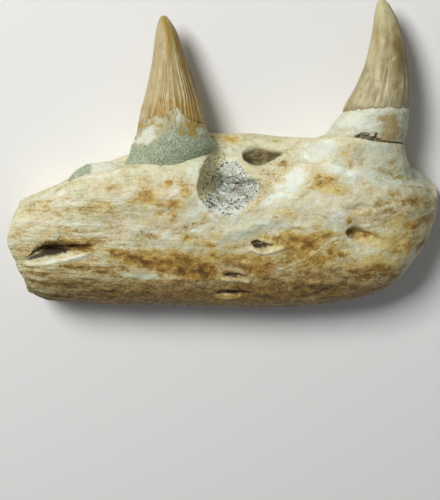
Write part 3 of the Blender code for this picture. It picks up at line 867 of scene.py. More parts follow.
    (233, 264, 15, 5, 0, 0.5, -0.5), (256, 268, 22, 5, -5, 0.65, 0.5),
    (263, 274, 17, 3, -5, 0.5, 0.3), (265, 278.5, 13, 1.8, -8, 0.75, 0),
    (276, 284, 8, 5, 20, 0.55, 0.1), (240, 287, 11, 3.4, -5, 0.5, 0.3),
    (262, 258, 12, 4, 0, 0.1, -0.1), (292, 275, 17, 4.4, 0, 0.7, -0.1),
    (300, 285, 20, 5, 0, 0.65, -0.4), (212, 286, 9, 3, 0, -0.2, -0.6),
    (315, 293, 15, 1.4, 14, 0.8, 0), (312, 299, 8, 2.4, 15, -0.5, -0.8),
    (262, 297, 14, 1.6, -5, 0.6, 0), (335, 275, 34, 8, 0, 0.6, -0.3),
    (330, 287, 40, 4, 0, 0.6, -0.2), (284, 264, 12, 3.4, 15, 0.15, -0.2),
    (228, 271.5, 7, 1.8, 10, 0.6, -0.3),
    # Towards the chin.
    (325, 179, 12, 6, 0, 0.5, 0.7), (331, 189, 18, 6, 0, 0.38, 0.7),
    (311, 189, 9, 4, 20, 0.42, 0.5), (323, 183, 5, 1.1, 0, 0.5, 0.3),
    (310, 187, 3.5, 1, 30, 0.6, 0.2), (317, 176, 5, 3, 40, 0.45, 0.3),
    (333, 169, 9, 6, 0, -0.65, -0.5), (346, 172, 10, 4, -10, -0.5, -0.3),
    (361, 176, 15, 7, 0, -0.45, -0.5), (356, 183, 9, 3, 0, -0.2, -0.2),
    (344, 154, 6.5, 6, 0, 0.45, 0.6), (349, 163, 4, 5, 0, 0.4, 0.3),
    (376, 152, 19, 8, 0, -0.05, -0.9), (364, 162, 10, 5, 0, 0.05, -0.2),
    (350, 165, 1, 4, 0, 0.9, 0), (362, 163, 1, 3.5, 0, 0.7, 0), (392, 163, 1.1, 5, -20, 0.7, 0),
    (373, 168.5, 8, 1.5, -10, 0.5, 0), (387, 173, 8, 2.8, -15, 0.55, 0),
    (401, 177.5, 7, 3, 0, 0.5, 0), (379, 180, 7, 0.9, -12, 0.9, 0),
    (411, 177, 6, 1.5, 5, 0.45, -0.3), (417, 187, 14, 0.9, -4, 0.65, 0),
    (429, 190, 3, 2, 0, 0.6, 0), (425, 184, 2.4, 2, 0, 0.4, 0),
    (403, 183, 24, 1.7, -6, -0.5, -0.4), (418, 178, 12, 5, -35, -0.2, -0.8),
    (366, 191, 12, 3, 5, 0.35, 0.2), (394, 193, 7, 4, 0, 0.35, 0.3),
    (402, 199, 15, 6, 0, 0.22, 0.2), (421, 202, 15, 7, 0, 0.35, 0.1),
    (414, 200, 3.4, 2, 0, 0.5, 0.2), (405, 201, 6, 1.1, 0, 0.45, 0),
    (378, 204.5, 6, 4, 30, 0.5, -0.1), (389, 211, 7, 3, 0, 0.35, -0.1),
    (330, 201, 24, 2.8, 0, -0.2, 0), (336, 214, 9, 8.5, 0, -0.7, -0.6),
    (331, 223, 9, 4, 0, -0.4, -0.4), (363, 215, 10, 2.8, 5, 0.3, 0.2),
    (367, 219, 5, 1.5, 0, 0.45, 0.1), (350, 222, 2.6, 6, 10, 0.65, 0.5),
    (352, 243, 8, 3.4, -45, -0.6, -0.5), (361, 250, 10, 6, 0, -0.22, -0.5),
    (362, 251, 2.6, 1.6, 40, 0.6, 0), (381, 238, 13, 1.8, -12, 0.5, 0.2),
    (373, 233, 6, 3, 0, 0.5, 0.3), (401, 222, 12, 7, 0, 0.25, 0.2),
    (420, 221.5, 17, 3.8, 22, 0.6, 0.3), (410, 227, 9, 2.8, 0, 0.3, 0.2),
    (426, 216, 9, 1.1, 22, 0.5, 0), (401, 246, 15, 10, 0, 0.25, 0.2),
    (386, 243, 6, 3, 0, 0.3, 0.4), (408, 247, 3, 6, 0, 0.45, 0), (395, 251, 7, 2.6, 0, 0.3, 0),
    (412, 256, 3, 12, -30, -0.45, -0.6), (420, 246, 2.6, 8, -34, 1.1, -0.9),
    (432, 230, 2.4, 10, -30, -0.1, -0.9), (393, 262, 11, 5, 0, -0.1, 0.1),
    (377, 268, 13, 4.6, 5, 0.9, 0.5), (386, 273, 9, 3.4, 10, 0.7, 0.3),
    (371, 276, 7, 3.4, 0, 0.75, 0.4), (393, 276, 5, 2, 30, 0.8, 0), (359, 271, 9, 3, 0, 0.5, 0.1),
    (406, 268, 5, 2, 45, -0.4, -0.4), (371, 218, 22, 14, 0, 0.12, 0),
)

# Lists of the same ovals, each row ending in one amount. First painted shade inside the holes.
HOLE_SHADE = (
    (34, 257, 10, 2.4, 20, 0.9), (51, 252, 14, 4.6, 10, 1.0), (68, 250, 12, 4, 6, 0.45),
    (258, 245.5, 7, 3.8, 0, 1.0), (267, 245, 8, 2.6, -4, 0.8), (235, 275.5, 12, 2.2, -3, 0.9),
    (233, 290.8, 15, 1.4, -2, 0.9), (351, 234, 3.2, 6, 30, 0.5),
)

# Where brown dots and curls lie thick on the bone.
SPECKS = (
    (207, 165, 13, 10, 30, 0.8), (268, 178, 24, 15, 40, 0.7), (255, 197, 12, 8, 50, 0.7),
    (150, 235, 18, 7, -10, 0.9), (128, 246, 16, 5, -10, 0.6), (190, 226, 12, 4, 20, 0.9),
    (115, 232, 16, 8, 0, 0.6), (180, 180, 12, 9, 0, 0.5), (392, 176, 32, 8, -10, 0.6),
    (290, 150, 20, 6, 20, 0.5), (215, 150, 14, 8, 0, 0.6), (405, 205, 24, 10, 0, 0.4),
)

# In the socket: olive on its upper left wall, the wall's own tone made brighter as painted light
# against its shade, and brown crumbs.
SOCKET_OLIVE_AND_LIGHT_PARTS = (
    (205, 174, 12, 15, 0, 1.1), (203, 190, 8, 12, -25, 1.1), (214, 160, 14, 8, 20, 0.9),
    (222, 176, 7, 9, 0, 0.35), (228, 212, 12, 4, 10, 0.35),
)
SOCKET_CRUMBS = (
    (210, 200, 6, 4, -45, 1.0), (226, 213, 4, 3, 0, 1.0), (237, 187, 7, 3.6, 0, 0.9),
    (233, 201, 4.5, 3, -20, 0.9), (214, 207, 5, 3, -40, 0.8), (222, 184, 4, 3, 0, 0.5),
    (205, 190, 3, 4, 0, 0.5), (246, 196, 4, 3, 40, 0.4),
)

# %% [markdown]
# The stain follows the grain of the bone: its noise is stretched along the jaw, most of all in
# the fibrous rear part. The belly is darker all along: mostly painted shade, partly stain.

# %% The stain with its painted shade, and the other masks of the bone
STAIN_LEVEL, DARK_START, CREEP = -0.11, 0.6, 0.26
# How dark the painted shade makes the bottom of each hole.
HOLE_DARKNESS = {
    "rear slot": 0.0, "rear slot throat": 0.7, "middle slot": 0.6,
    "front hole": 0.3, "lower slit": 0.6, "lowest slit": 0.6,
}

# Noise that makes the edges of the marks creep, and then mottling of several sizes.
fibrous = fine["fibrous"]
round_creep = CREEP * fractal(jaw, (2.6, 1.7, 1.7), seed=200, octaves=6)
long_creep = CREEP * fractal(jaw, (5.0, 1.2, 1.2), seed=205, octaves=5)
fine_creep = CREEP * fractal(jaw, (1.0, 0.8, 0.8), seed=207, octaves=4)
creep = round_creep + (long_creep - round_creep) * fibrous + fine_creep
clouds = fractal(jaw, (7.0, 4.0, 4.0), seed=210, octaves=3)
streaks = fractal(jaw, (12.0, 0.9, 0.9), seed=220, octaves=4)
mottle = fractal(jaw, (1.7, 1.2, 1.2), seed=230, octaves=4)
ragged = fractal(jaw, (3.0, 2.0, 2.0), seed=240, octaves=6)
facing_skin = np.where(FACING, 1.0, 0.0)

marks, hue = patches(plate, STAINS, creep)
marks = marks * (1 + 0.7 * fractal(jaw, (1.3, 0.9, 0.9), seed=215, octaves=5))
# The plotted marks lead where the camera looks, so the random ones are halved there.
quiet = 1 - 0.5 * facing_skin
# The stain number. Further down it also takes painted shade.
stain_and_shade = STAIN_LEVEL + 1.05 * marks * facing_skin
stain_and_shade += 0.24 * clouds * quiet + 0.24 * mottle * quiet + 0.26 * streaks * fibrous
stain_and_shade += (0.30 * smoothstep(0.22, 0.42, ragged) - 0.24 * smoothstep(-0.18, -0.42, ragged)) * quiet
stain_and_shade += 0.24 * fine["splits"] * fibrous + 0.45 * fine["pits"] + 0.10 * fine["chipped"]
# Painted shade: the lower part, the belly and the chin's front are darker, where the surface
# turns away from the lamp. Part of the belly's darkness is stain.
low = plate[..., 1] + 0.06 * np.abs(plate[..., 0] + 2) + 0.8 * clouds
belly_shade_and_stain = smoothstep(-18.5, -23.5, low)
stain_and_shade += 0.34 * smoothstep(-13.0, -19.0, low) + 0.80 * belly_shade_and_stain
stain_and_shade += 0.25 * smoothstep(28.0, 40.0, plate[..., 0] - 0.9 * (plate[..., 1] + 14.0))
# Above DARK_START the stain grows half as fast, and the belly gets a little more painted shade.
# The lips of the holes and the healed crack's ridge are painted paler, a painted highlight.
stain_and_shade = stain_and_shade - 0.5 * np.maximum(stain_and_shade - DARK_START, 0) + 0.15 * belly_shade_and_stain - 0.55 * fine["lips"]

# Darker pores, and painted shade inside the holes.
(hole_shade,) = patches(plate, HOLE_SHADE, 0.6 * creep)
shade_and_dirt = 0.35 * fine["pits"] + hole_shade * facing_skin
for name, depth_share in in_holes.items():
    # Painted shade: the deeper a point lies in a hole, the darker its colour.
    stain_and_shade += 0.6 * smoothstep(0.05, 0.5, depth_share)
    shade_and_dirt = np.maximum(shade_and_dirt, HOLE_DARKNESS[name] * smoothstep(0.3, 0.9, depth_share))

# Olive on the socket's left wall, brightened as painted light.
(olive_and_light,) = patches(plate, SOCKET_OLIVE_AND_LIGHT_PARTS, creep)
(crumbs,) = patches(plate, SOCKET_CRUMBS, round_creep)
(specks,) = patches(plate, SPECKS, creep)
# Towards the front, the belly's painted shade and stain are pulled towards ochre.
hue = hue * facing_skin + 0.45 * belly_shade_and_stain * smoothstep(-25.0, 0.0, plate[..., 0])
# The wall's colour reaches less far up towards the front of the socket.
wall_reach = 0.02 + 0.4 * smoothstep(3.0, 8.5, plate[..., 0])
bone_masks = {
    "StainAndShade": stain_and_shade,
    "Hue": np.clip(hue, -1, 1),
    "ShadeAndDirt": np.clip(shade_and_dirt, 0, 1),
    "Sponge": fine["sponge"],
    "OliveAndLight": np.clip(olive_and_light, 0, 1),
    "Crumbs": np.clip(0.55 * crumbs, 0, 1),
    "Specks": np.clip(specks, 0, 1) * facing_skin,
    "Socket": smoothstep(0.0, 1.0, in_socket / wall_reach),
    "Pit": smoothstep(0.0, 0.30, in_pit),
    "Fibrous": fibrous,
}
print("stain from", stain_and_shade.min().round(2), "to", stain_and_shade.max().round(2))

# %% [markdown]
# ## Materials
# Every material is built from nodes on Object coordinates and on the masks of its mesh. Each
# helper below adds a node or a few, so that a material reads from top to bottom like a recipe.


# %% Node helpers
def new_material(name, roughness):
    """A material with its Principled shader, and its node tree."""
    material = bpy.data.materials.new(name)
    material.use_nodes = True
    tree = material.node_tree
    shader = tree.nodes["Principled BSDF"]
    shader.inputs["Roughness"].default_value = roughness
    return material, tree, shader


def value_of(tree, socket, value):
    """Links an output, or sets a plain number or colour, on an input socket."""
    if isinstance(value, bpy.types.NodeSocket):
        tree.links.new(value, socket)
    elif isinstance(value, tuple):
        socket.default_value = (*value, 1.0)[: len(socket.default_value)]
    else:
        socket.default_value = value


def mask_of(tree, name):
    """One of the piece's own masks."""
    node = tree.nodes.new("ShaderNodeAttribute")
    node.attribute_name = name
    return node.outputs["Fac"]


def math_of(tree, operation, first, second=0.0):
    """One operation on two numbers."""
    node = tree.nodes.new("ShaderNodeMath")
    node.operation = operation
    value_of(tree, node.inputs[0], first)
    value_of(tree, node.inputs[1], second)
    return node.outputs[0]


def times(tree, first, second):
    """A product."""
    return math_of(tree, "MULTIPLY", first, second)


def added(tree, *values):
    """A sum of several numbers."""
    total = values[0]
    for value in values[1:]:
        total = math_of(tree, "ADD", total, value)
    return total


def mixed(tree, share, base, over):
    """A colour laid over another by a share."""
    node = tree.nodes.new("ShaderNodeMix")
    node.data_type = "RGBA"
    value_of(tree, node.inputs["Factor"], share)
    value_of(tree, node.inputs[6], base)
    value_of(tree, node.inputs[7], over)
    return node.outputs[2]


def layered(tree, colour, *layers):
    """Colours laid over a first one in turn, each a (share, colour) pair."""
    for share, over in layers:
        colour = mixed(tree, share, colour, over)
    return colour


def mapped(tree, size, stretch=(1, 1, 1)):
    """Object coordinates counted in a size in mm, which is longer along an axis by its stretch."""
    coordinates = tree.nodes.new("ShaderNodeTexCoord")
    mapping = tree.nodes.new("ShaderNodeMapping")
    mapping.inputs["Scale"].default_value = tuple(1 / (size * MM * s) for s in stretch)
    tree.links.new(coordinates.outputs["Object"], mapping.inputs["Vector"])
    return mapping.outputs["Vector"]


def grain_of(tree, size, stretch=(1, 1, 1), detail=4.0, roughness=0.6):
    """Noise of a size in mm, from about 0 to 1."""
    node = tree.nodes.new("ShaderNodeTexNoise")
    node.inputs["Scale"].default_value = 1.0
    node.inputs["Detail"].default_value = detail
    node.inputs["Roughness"].default_value = roughness
    tree.links.new(mapped(tree, size, stretch), node.inputs["Vector"])
    return node.outputs["Fac"]


def scattered(tree, grain, amount):
    """Grain about zero, times an amount."""
    return times(tree, math_of(tree, "SUBTRACT", grain, 0.5), amount)


def cells_of(tree, size):
    """Grains of a size in mm: the distance to the nearest grain's middle, and its colour."""
    node = tree.nodes.new("ShaderNodeTexVoronoi")
    node.inputs["Scale"].default_value = 1.0
    tree.links.new(mapped(tree, size), node.inputs["Vector"])
    return node.outputs["Distance"], node.outputs["Color"]


def palette_of(tree, value, stops):
    """A colour read off a scale of (place, colour) stops, mixed in between."""
    node = tree.nodes.new("ShaderNodeValToRGB")
    low, high = stops[0][0], stops[-1][0]
    above_low = math_of(tree, "SUBTRACT", value, low)
    value_of(tree, node.inputs["Fac"], math_of(tree, "DIVIDE", above_low, high - low))
    elements = node.color_ramp.elements
    for number, (place, colour) in enumerate(stops):
        if number > 1:
            elements.new(1.0)
        elements[number].position = (place - low) / (high - low)
        elements[number].color = (*colour, 1)
    return node.outputs["Color"]


def ramp_of(tree, value, low, high):
    """0 below low and 1 above high."""
    node = tree.nodes.new("ShaderNodeMapRange")
    node.interpolation_type = "SMOOTHSTEP"
    value_of(tree, node.inputs["Value"], value)
    node.inputs["From Min"].default_value = low
    node.inputs["From Max"].default_value = high
    return node.outputs["Result"]


MASK_EDGE, MASK_GATE = (0.12, 0.95), (0.0, 0.12)
GRAIN_RANGE = (0.3, 0.7)


def broken_mask(tree, name, grain, amount):
    """A mask whose edge is broken up by grain: mask + (grain - 0.5) x amount, sharpened, and
    nothing where the mask itself is nothing."""
    mask = mask_of(tree, name)
    together = added(tree, mask, scattered(tree, grain, amount))
    return times(tree, ramp_of(tree, together, *MASK_EDGE), ramp_of(tree, mask, *MASK_GATE))


def roughness_of(tree, grain, low, high):
    """Roughness between two values, following a grain."""
    node = tree.nodes.new("ShaderNodeMapRange")
    value_of(tree, node.inputs["Value"], grain)
    node.inputs["From Min"].default_value, node.inputs["From Max"].default_value = GRAIN_RANGE
    node.inputs["To Min"].default_value = low
    node.inputs["To Max"].default_value = high
    return node.outputs["Result"]


def tinted(tree, colour, tint):
    """A colour multiplied by a tint."""
    node = tree.nodes.new("ShaderNodeMix")
    node.data_type = "RGBA"
    node.blend_type = "MULTIPLY"
    node.inputs["Factor"].default_value = 1.0
    value_of(tree, node.inputs[6], colour)
    value_of(tree, node.inputs[7], tint)
    return node.outputs[2]


def bumped(tree, shader, heights):
    """Chains bumps on the shader: each is a height, its depth in mm and its strength."""
    normal = None
    for height, depth, strength in heights:
        node = tree.nodes.new("ShaderNodeBump")
        node.inputs["Strength"].default_value = strength
        node.inputs["Distance"].default_value = depth * MM
        value_of(tree, node.inputs["Height"], height)
        if normal is not None:
            tree.links.new(normal, node.inputs["Normal"])
        normal = node.outputs["Normal"]
    tree.links.new(normal, shader.inputs["Normal"])


# %% [markdown]
# The material reads the stain with its painted shade, adds finer noise than the mesh can hold, and
# looks the colour up on the line from chalk to dark brown. A tint pulls it towards ochre or cool
# grey. The porous socket wall, the pit, the painted shade in the holes and the darker pores are
# laid over it.

# %% The bone material
STAIN_AND_SHADE_COLOURS = (
    (-1.0, (0.78, 0.81, 0.72)),
    (-0.5, (0.71, 0.70, 0.54)),
    (0.0, (0.64, 0.60, 0.405)),
    (0.35, (0.555, 0.475, 0.255)),
    (0.7, (0.42, 0.295, 0.105)),
    (1.05, (0.25, 0.155, 0.045)),
    (1.6, (0.095, 0.058, 0.019)),
)
OCHRE_TINT = (1.06, 0.92, 0.54)
COOL_TINT = (0.93, 1.01, 1.07)
ROSY_TINT = (1.03, 0.985, 0.93)
GREEN_TINT = (0.985, 1.01, 0.97)
PLAIN_TINT = (1.0, 1.0, 1.0)
SOCKET_WHITE = (0.72, 0.785, 0.705)
SOCKET_LILAC = (0.52, 0.545, 0.455)
# The wall's own olive, made brighter as painted light that lifts the shaded left wall.
SOCKET_OLIVE_AND_LIGHT = (0.82, 0.765, 0.45)
SOCKET_BROWN = (0.11, 0.07, 0.036)
PIT_BROWN = (0.17, 0.135, 0.065)
PIT_TAN = (0.42, 0.36, 0.19)
SHADE_AND_DIRT_COLOUR = (0.045, 0.027, 0.012)


def worms_of(tree, size, width, stretch=(1, 1, 1), gate=0.5):
    """Thin curly lines: where smooth noise crosses its middle value, broken up by finer noise."""
    level = grain_of(tree, size, stretch, detail=1.5, roughness=0.5)
    away = math_of(tree, "ABSOLUTE", math_of(tree, "SUBTRACT", level, 0.5))
    lines = math_of(tree, "SUBTRACT", 1.0, ramp_of(tree, away, width * 0.4, width))
    gaps = ramp_of(tree, grain_of(tree, gate, detail=2), 0.47, 0.56)
    return times(tree, lines, gaps)


def socket_wall(tree, grain):
    """The open, porous bone of the socket: white and lilac, on one side olive brightened as
    painted light, brown crumbs.
    """
    patch = grain_of(tree, 1.6, detail=6, roughness=0.7)
    pits = ramp_of(tree, grain_of(tree, 0.45, detail=3), 0.60, 0.65)
    return layered(
        tree, SOCKET_WHITE,
        (ramp_of(tree, patch, 0.44, 0.58), SOCKET_LILAC),
        (broken_mask(tree, "OliveAndLight", grain, 0.8), SOCKET_OLIVE_AND_LIGHT),
        (times(tree, worms_of(tree, 0.85, 0.075), 0.95), SOCKET_BROWN),
        (times(tree, pits, 0.7), SOCKET_BROWN),
        (times(tree, mask_of(tree, "Sponge"), 0.22), SOCKET_BROWN),
        (broken_mask(tree, "Crumbs", grain_of(tree, 0.5, detail=4), 4.0), SOCKET_BROWN),
    )


def bone_stain_and_shade(tree, grain, speckle, flakes, fibres):
    """The mesh's stain and painted shade plus what is finer: grain, speckle, flakes, fibres,
    cracks and curls.
    """
    cracks = worms_of(tree, 1.5, 0.016, (2.4, 1, 1), 1.6)
    curls = times(tree, worms_of(tree, 0.62, 0.05, (1.5, 1, 1), 0.5), mask_of(tree, "Specks"))
    return added(
        tree, mask_of(tree, "StainAndShade"), scattered(tree, grain, 1.3), scattered(tree, speckle, 1.9),
        scattered(tree, flakes, 0.16), times(tree, fibres, 1.4), times(tree, cracks, 0.45),
        times(tree, curls, 1.1),
    )


def bone_tint(tree, colour):
    """The colour pulled to ochre or cool grey by the hue, and in broad clouds to green or rose."""
    hue = added(tree, mask_of(tree, "Hue"), scattered(tree, grain_of(tree, 2.6, detail=5), 1.6))
    ochre = mixed(tree, ramp_of(tree, hue, 0.0, 0.9), PLAIN_TINT, OCHRE_TINT)
    cool = mixed(tree, ramp_of(tree, times(tree, hue, -1.0), 0.1, 1.0), PLAIN_TINT, COOL_TINT)
    broad = ramp_of(tree, grain_of(tree, 5.0, (1.4, 1, 1), detail=5), 0.42, 0.58)
    for tint in (ochre, cool, mixed(tree, broad, GREEN_TINT, ROSY_TINT)):
        colour = tinted(tree, colour, tint)
    return colour


def bone_material():
    """Weathered fossil bone: stain colours, fine speckle, matt with a faint polish."""
    material, tree, shader = new_material("fossil_bone_weathered", 0.55)
    grain = grain_of(tree, 1.1, (1.3, 1, 1), detail=6, roughness=0.66)
    speckle = grain_of(tree, 0.36, (1.3, 1, 1), detail=4, roughness=0.65)
    fibres = scattered(tree, grain_of(tree, 0.30, (16, 1, 1), detail=4), 1.0)
    fibres = times(tree, fibres, mask_of(tree, "Fibrous"))
    flakes = ramp_of(tree, grain_of(tree, 1.7, (1.6, 1, 1), detail=8, roughness=0.72), 0.47, 0.53)
    stain_and_shade = bone_stain_and_shade(tree, grain, speckle, flakes, fibres)
    colour = layered(
        tree, bone_tint(tree, palette_of(tree, stain_and_shade, STAIN_AND_SHADE_COLOURS)),
        (times(tree, ramp_of(tree, speckle, 0.63, 0.70), 0.35), STAIN_AND_SHADE_COLOURS[0][1]),
        (mask_of(tree, "Socket"), socket_wall(tree, grain)),
        (broken_mask(tree, "Pit", grain, 0.6),
         mixed(tree, ramp_of(tree, grain, 0.42, 0.62), PIT_BROWN, PIT_TAN)),
        # Painted shade in the holes, and darker pores.
        (broken_mask(tree, "ShadeAndDirt", speckle, 0.6), SHADE_AND_DIRT_COLOUR),
    )
    value_of(tree, shader.inputs["Base Color"], colour)
    value_of(tree, shader.inputs["Roughness"], roughness_of(tree, grain, 0.46, 0.72))
    heights = ((grain, 0.22, 0.8), (flakes, 0.035, 0.7), (speckle, 0.12, 0.8), (fibres, 0.20, 0.7))
    bumped(tree, shader, heights)
    return material


add_piece("jaw_bone_skin", jaw, bone_masks, bone_material(), "jaw_bone")

# %% [markdown]
# ## Tooth crowns
# A mosasaur's crown is a cone that leans back and inwards, with a keel in front and behind and
# fine ridges that run up from its foot and die out below the smooth tip. It is turned like a
# vase: a few measured levels, with the ridges added to the radius.

# %% Crown surface
# Height in Y, middle in X and half width in X of each level.
FRONT_CROWN = np.array([
    (10.0, 28.85, 6.2), (11.2, 29.1, 5.95), (13.1, 29.65, 5.5), (14.9, 30.1, 5.0),
    (16.8, 30.4, 4.5), (18.7, 30.6, 4.05), (20.5, 30.7, 3.65), (22.4, 30.7, 3.2),
    (24.2, 30.6, 2.75), (26.0, 30.45, 2.35), (27.5, 30.2, 1.95), (28.7, 29.95, 1.5),
    (29.7, 29.75, 1.1), (30.3, 29.6, 0.6),
])
REAR_CROWN = np.array([
    (7.2, -9.4, 6.5), (10.2, -9.4, 5.85), (12.1, -9.35, 5.35), (14.0, -9.4, 4.8),
    (15.8, -9.45, 4.3), (17.7, -9.6, 3.8), (19.6, -9.75, 3.35), (21.4, -9.9, 2.95),
    (23.1, -10.1, 2.55), (24.8, -10.3, 2.1), (26.0, -10.5, 1.65), (26.9, -10.65, 1.2),
    (27.6, -10.8, 0.75),
])
# Middle in Z, depth as a share of the width, lean to the inner side, tilt of the foot.
FRONT_SET = (8.6, 0.89, 2.3, 0.31)
REAR_SET = (8.6, 0.92, 1.8, 0.50)
CROWN_ROWS, CROWN_COLUMNS = 250, 340
DOME_ROWS, DOME_HEIGHT = 10, 0.25
KEEL, KEEL_SHARPNESS = 0.012, 24


def crown_frame(levels, setting):
    """The smooth crown as a grid, and its angle and share of the height at each point. The keels
    are where a high power of the cosine of the angle makes the radius a little larger."""
    base_z, flatness, lean, tilt = setting
    y, x, half = along(levels, np.linspace(0, len(levels) - 1, CROWN_ROWS)).T
    dome = np.linspace(0, math.pi / 2, DOME_ROWS + 1)[1:-1]
    y = np.append(y, y[-1] + DOME_HEIGHT * np.sin(dome))
    x = np.append(x, np.full(len(dome), x[-1]))
    half = np.append(half, half[-1] * np.cos(dome))
    low, high = levels[0, 0], levels[-1, 0]
    share = ((y - low) / (high - low))[:, None]
    angle = np.linspace(0, 2 * math.pi, CROWN_COLUMNS, endpoint=False)[None, :]
    keel = KEEL * np.abs(np.cos(angle)) ** KEEL_SHARPNESS
    keel = 1 + keel * smoothstep(1.0, 0.8, share) * smoothstep(0.0, 0.2, share)
    across = half[:, None] * np.cos(angle) * keel
    deep = half[:, None] * flatness * np.sin(angle)
    slope = tilt * np.clip(1 - share, 0, 1.1) ** 1.5
    z = base_z - lean * share**2
    grid = np.stack([x[:, None] + across, y[:, None] + slope * deep, z + deep], axis=-1)
    return grid, angle, share


RIDGE_FADE = 0.22


def ridges(angle, share, count, seed, width=0.17, low_top=0.42, high_top=0.78):
    """Height from 0 to 1 of ridges up the crown: bell-shaped crests, each with its own top."""
    wander = 0.35 * np.sin(3 * angle + seed) + 0.25 * np.sin(7 * angle + 2 * seed)
    lane = angle * count / (2 * math.pi) + wander + 0.12 * np.sin(9 * share + 5 * angle)
    number = np.floor(lane)
    aside = lane - number - 0.5
    cell = np.stack([number, np.zeros_like(number), np.zeros_like(number)], axis=-1)
    strength = 0.35 + 0.65 * cell_values(cell, seed)
    top = low_top + (high_top - low_top) * cell_values(cell, seed + 1)
    return strength * np.exp(-((aside / width) ** 2)) * smoothstep(top, top - RIDGE_FADE, share)


# %% [markdown]
# The rear crown has some three dozen sharp ridges, their crests painted paler as a highlight. Its
# colour changes round it: paler on the rear side, painted light, an ochre flame down the middle,
# darker brown on the front side, painted shade, and orange at the foot.

# %% The rear crown
REAR_RIDGES, REAR_RIDGE_HEIGHT = 36, 0.19
rear_crown, rear_angle, rear_share = crown_frame(REAR_CROWN, REAR_SET)
rear_ridge = ridges(rear_angle, rear_share, REAR_RIDGES, seed=3)
worn_foot = smoothstep(0.34, 0.10, rear_share)
rear_height = REAR_RIDGE_HEIGHT * (rear_ridge - 0.8)
rear_height = rear_height + 0.04 * fractal(rear_crown, (2.0, 5.0, 2.0), seed=300)
rear_height += 0.08 * worn_foot * fractal(rear_crown, 0.9, seed=310)
rear_height -= 0.10 * smoothstep(0.05, 0.0, rear_share)
rear_crown = puffed(rear_crown, rear_height)

# Round the crown, side runs from -1 at the rear to 1 at the front.
side = np.cos(rear_angle) * np.ones_like(rear_share)
drift = 0.16 * fractal(rear_crown, (1.2, 9.0, 1.2), seed=320, octaves=4)
crumble = fractal(rear_crown, 1.3, seed=330, octaves=4)
high = smoothstep(0.5, 0.9, rear_share)
pale_stripe = np.exp(-(((side - 0.43 + drift) / 0.15) ** 2)) * smoothstep(0.92, 0.7, rear_share)
flame = np.exp(-(((side + 0.13 - 0.20 * high + 0.5 * drift) / (0.16 + 0.26 * high)) ** 4))
stained_foot = smoothstep(0.44, 0.06, rear_share + 0.10 * crumble)
scar = -side + 0.4 * crumble - 7.0 * np.abs(rear_share - 0.07)
rear_masks = {
    # Pale: the rear side is painted light, and the stripe is the enamel's own.
    "Pale": np.maximum(smoothstep(-0.30, -0.55, side + drift), 0.9 * pale_stripe),
    "Flame": flame * smoothstep(0.36, 0.56, rear_share + 0.5 * drift),
    # Painted shade on the front side.
    "BrownAndShade": smoothstep(0.52, 0.74, side + drift) * smoothstep(1.0, 0.8, rear_share),
    "Foot": stained_foot * smoothstep(-1.5, -0.2, side + 0.3 * crumble),
    # Ridge crests, painted paler as a highlight.
    "CrestHighlight": rear_ridge,
    "Scar": 0.6 * smoothstep(0.35, 0.8, scar),
}
print("rear crown:", rear_crown.shape[:2], "ridge height", rear_height.max().round(2), "mm")

# %% [markdown]
# The front crown is the larger and the more worn: broad and fine flutes in its lower half, a few
# chips, one hairline crack across it, and brown down its front edge, partly stain and partly
# painted shade. Its enamel stops at a ragged line and stands a little proud of the root.

# %% The front crown
FRONT_FLUTES, FRONT_FINE_FLUTES, FRONT_FLUTE_DEPTH = 17, 39, 0.20
ENAMEL_STEP = 0.06
# Pixels of each chip's middle, its radius and its depth in mm.
CHIPS = ((393, 57, 0.5, 0.13), (391, 64, 0.35, 0.08), (400, 85, 0.55, 0.12), (396, 90, 0.35, 0.08))
HAIRLINE = ((372, 80), (380, 82), (389, 82), (397, 81))
HAIRLINE_WIDTH, HAIRLINE_DEPTH = 0.09, 0.06

front_crown, front_angle, front_share = crown_frame(FRONT_CROWN, FRONT_SET)
broad_flutes = ridges(front_angle, front_share, FRONT_FLUTES, 7, 0.3, 0.45, 0.6)
fine_flutes = ridges(front_angle, front_share, FRONT_FINE_FLUTES, 8, 0.2, 0.3, 0.5)
front_ridge = np.maximum(broad_flutes, 0.6 * fine_flutes)
front_plate = on_plate(front_crown)
chips = np.zeros(front_crown.shape[:2])
for x, y, radius, depth in CHIPS:
    reach = np.hypot(*np.moveaxis(front_plate - plotted(x, y), -1, 0)) / radius
    reach = reach + 0.7 * fractal(front_crown, 0.6, seed=350)
    chips = np.maximum(chips, depth * smoothstep(1.1, 0.35, reach))
facing = grid_normals(front_crown) @ BACK > 0
front_height = FRONT_FLUTE_DEPTH * (front_ridge - 0.8) * smoothstep(0.62, 0.4, front_share)
front_height += 0.05 * fractal(front_crown, (2.2, 5.0, 2.2), seed=360) - chips * facing
hairline = line_distance(front_plate, [plotted(x, y) for x, y in HAIRLINE])
hairline = np.exp(-((hairline / HAIRLINE_WIDTH) ** 2)) * facing
front_height -= HAIRLINE_DEPTH * hairline
hem = smoothstep(0.035, 0.0, front_share)
front_height -= 0.12 * hem
ragged_hem = 0.45 * fractal(front_crown, (1.1, 30.0, 1.1), seed=370)
front_crown = puffed(front_crown, front_height + ENAMEL_STEP)
front_crown[..., 1] += ragged_hem * hem

front_side = np.cos(front_angle) * np.ones_like(front_share)
front_drift = 0.30 * fractal(front_crown, (1.3, 8.0, 1.3), seed=380, octaves=4)
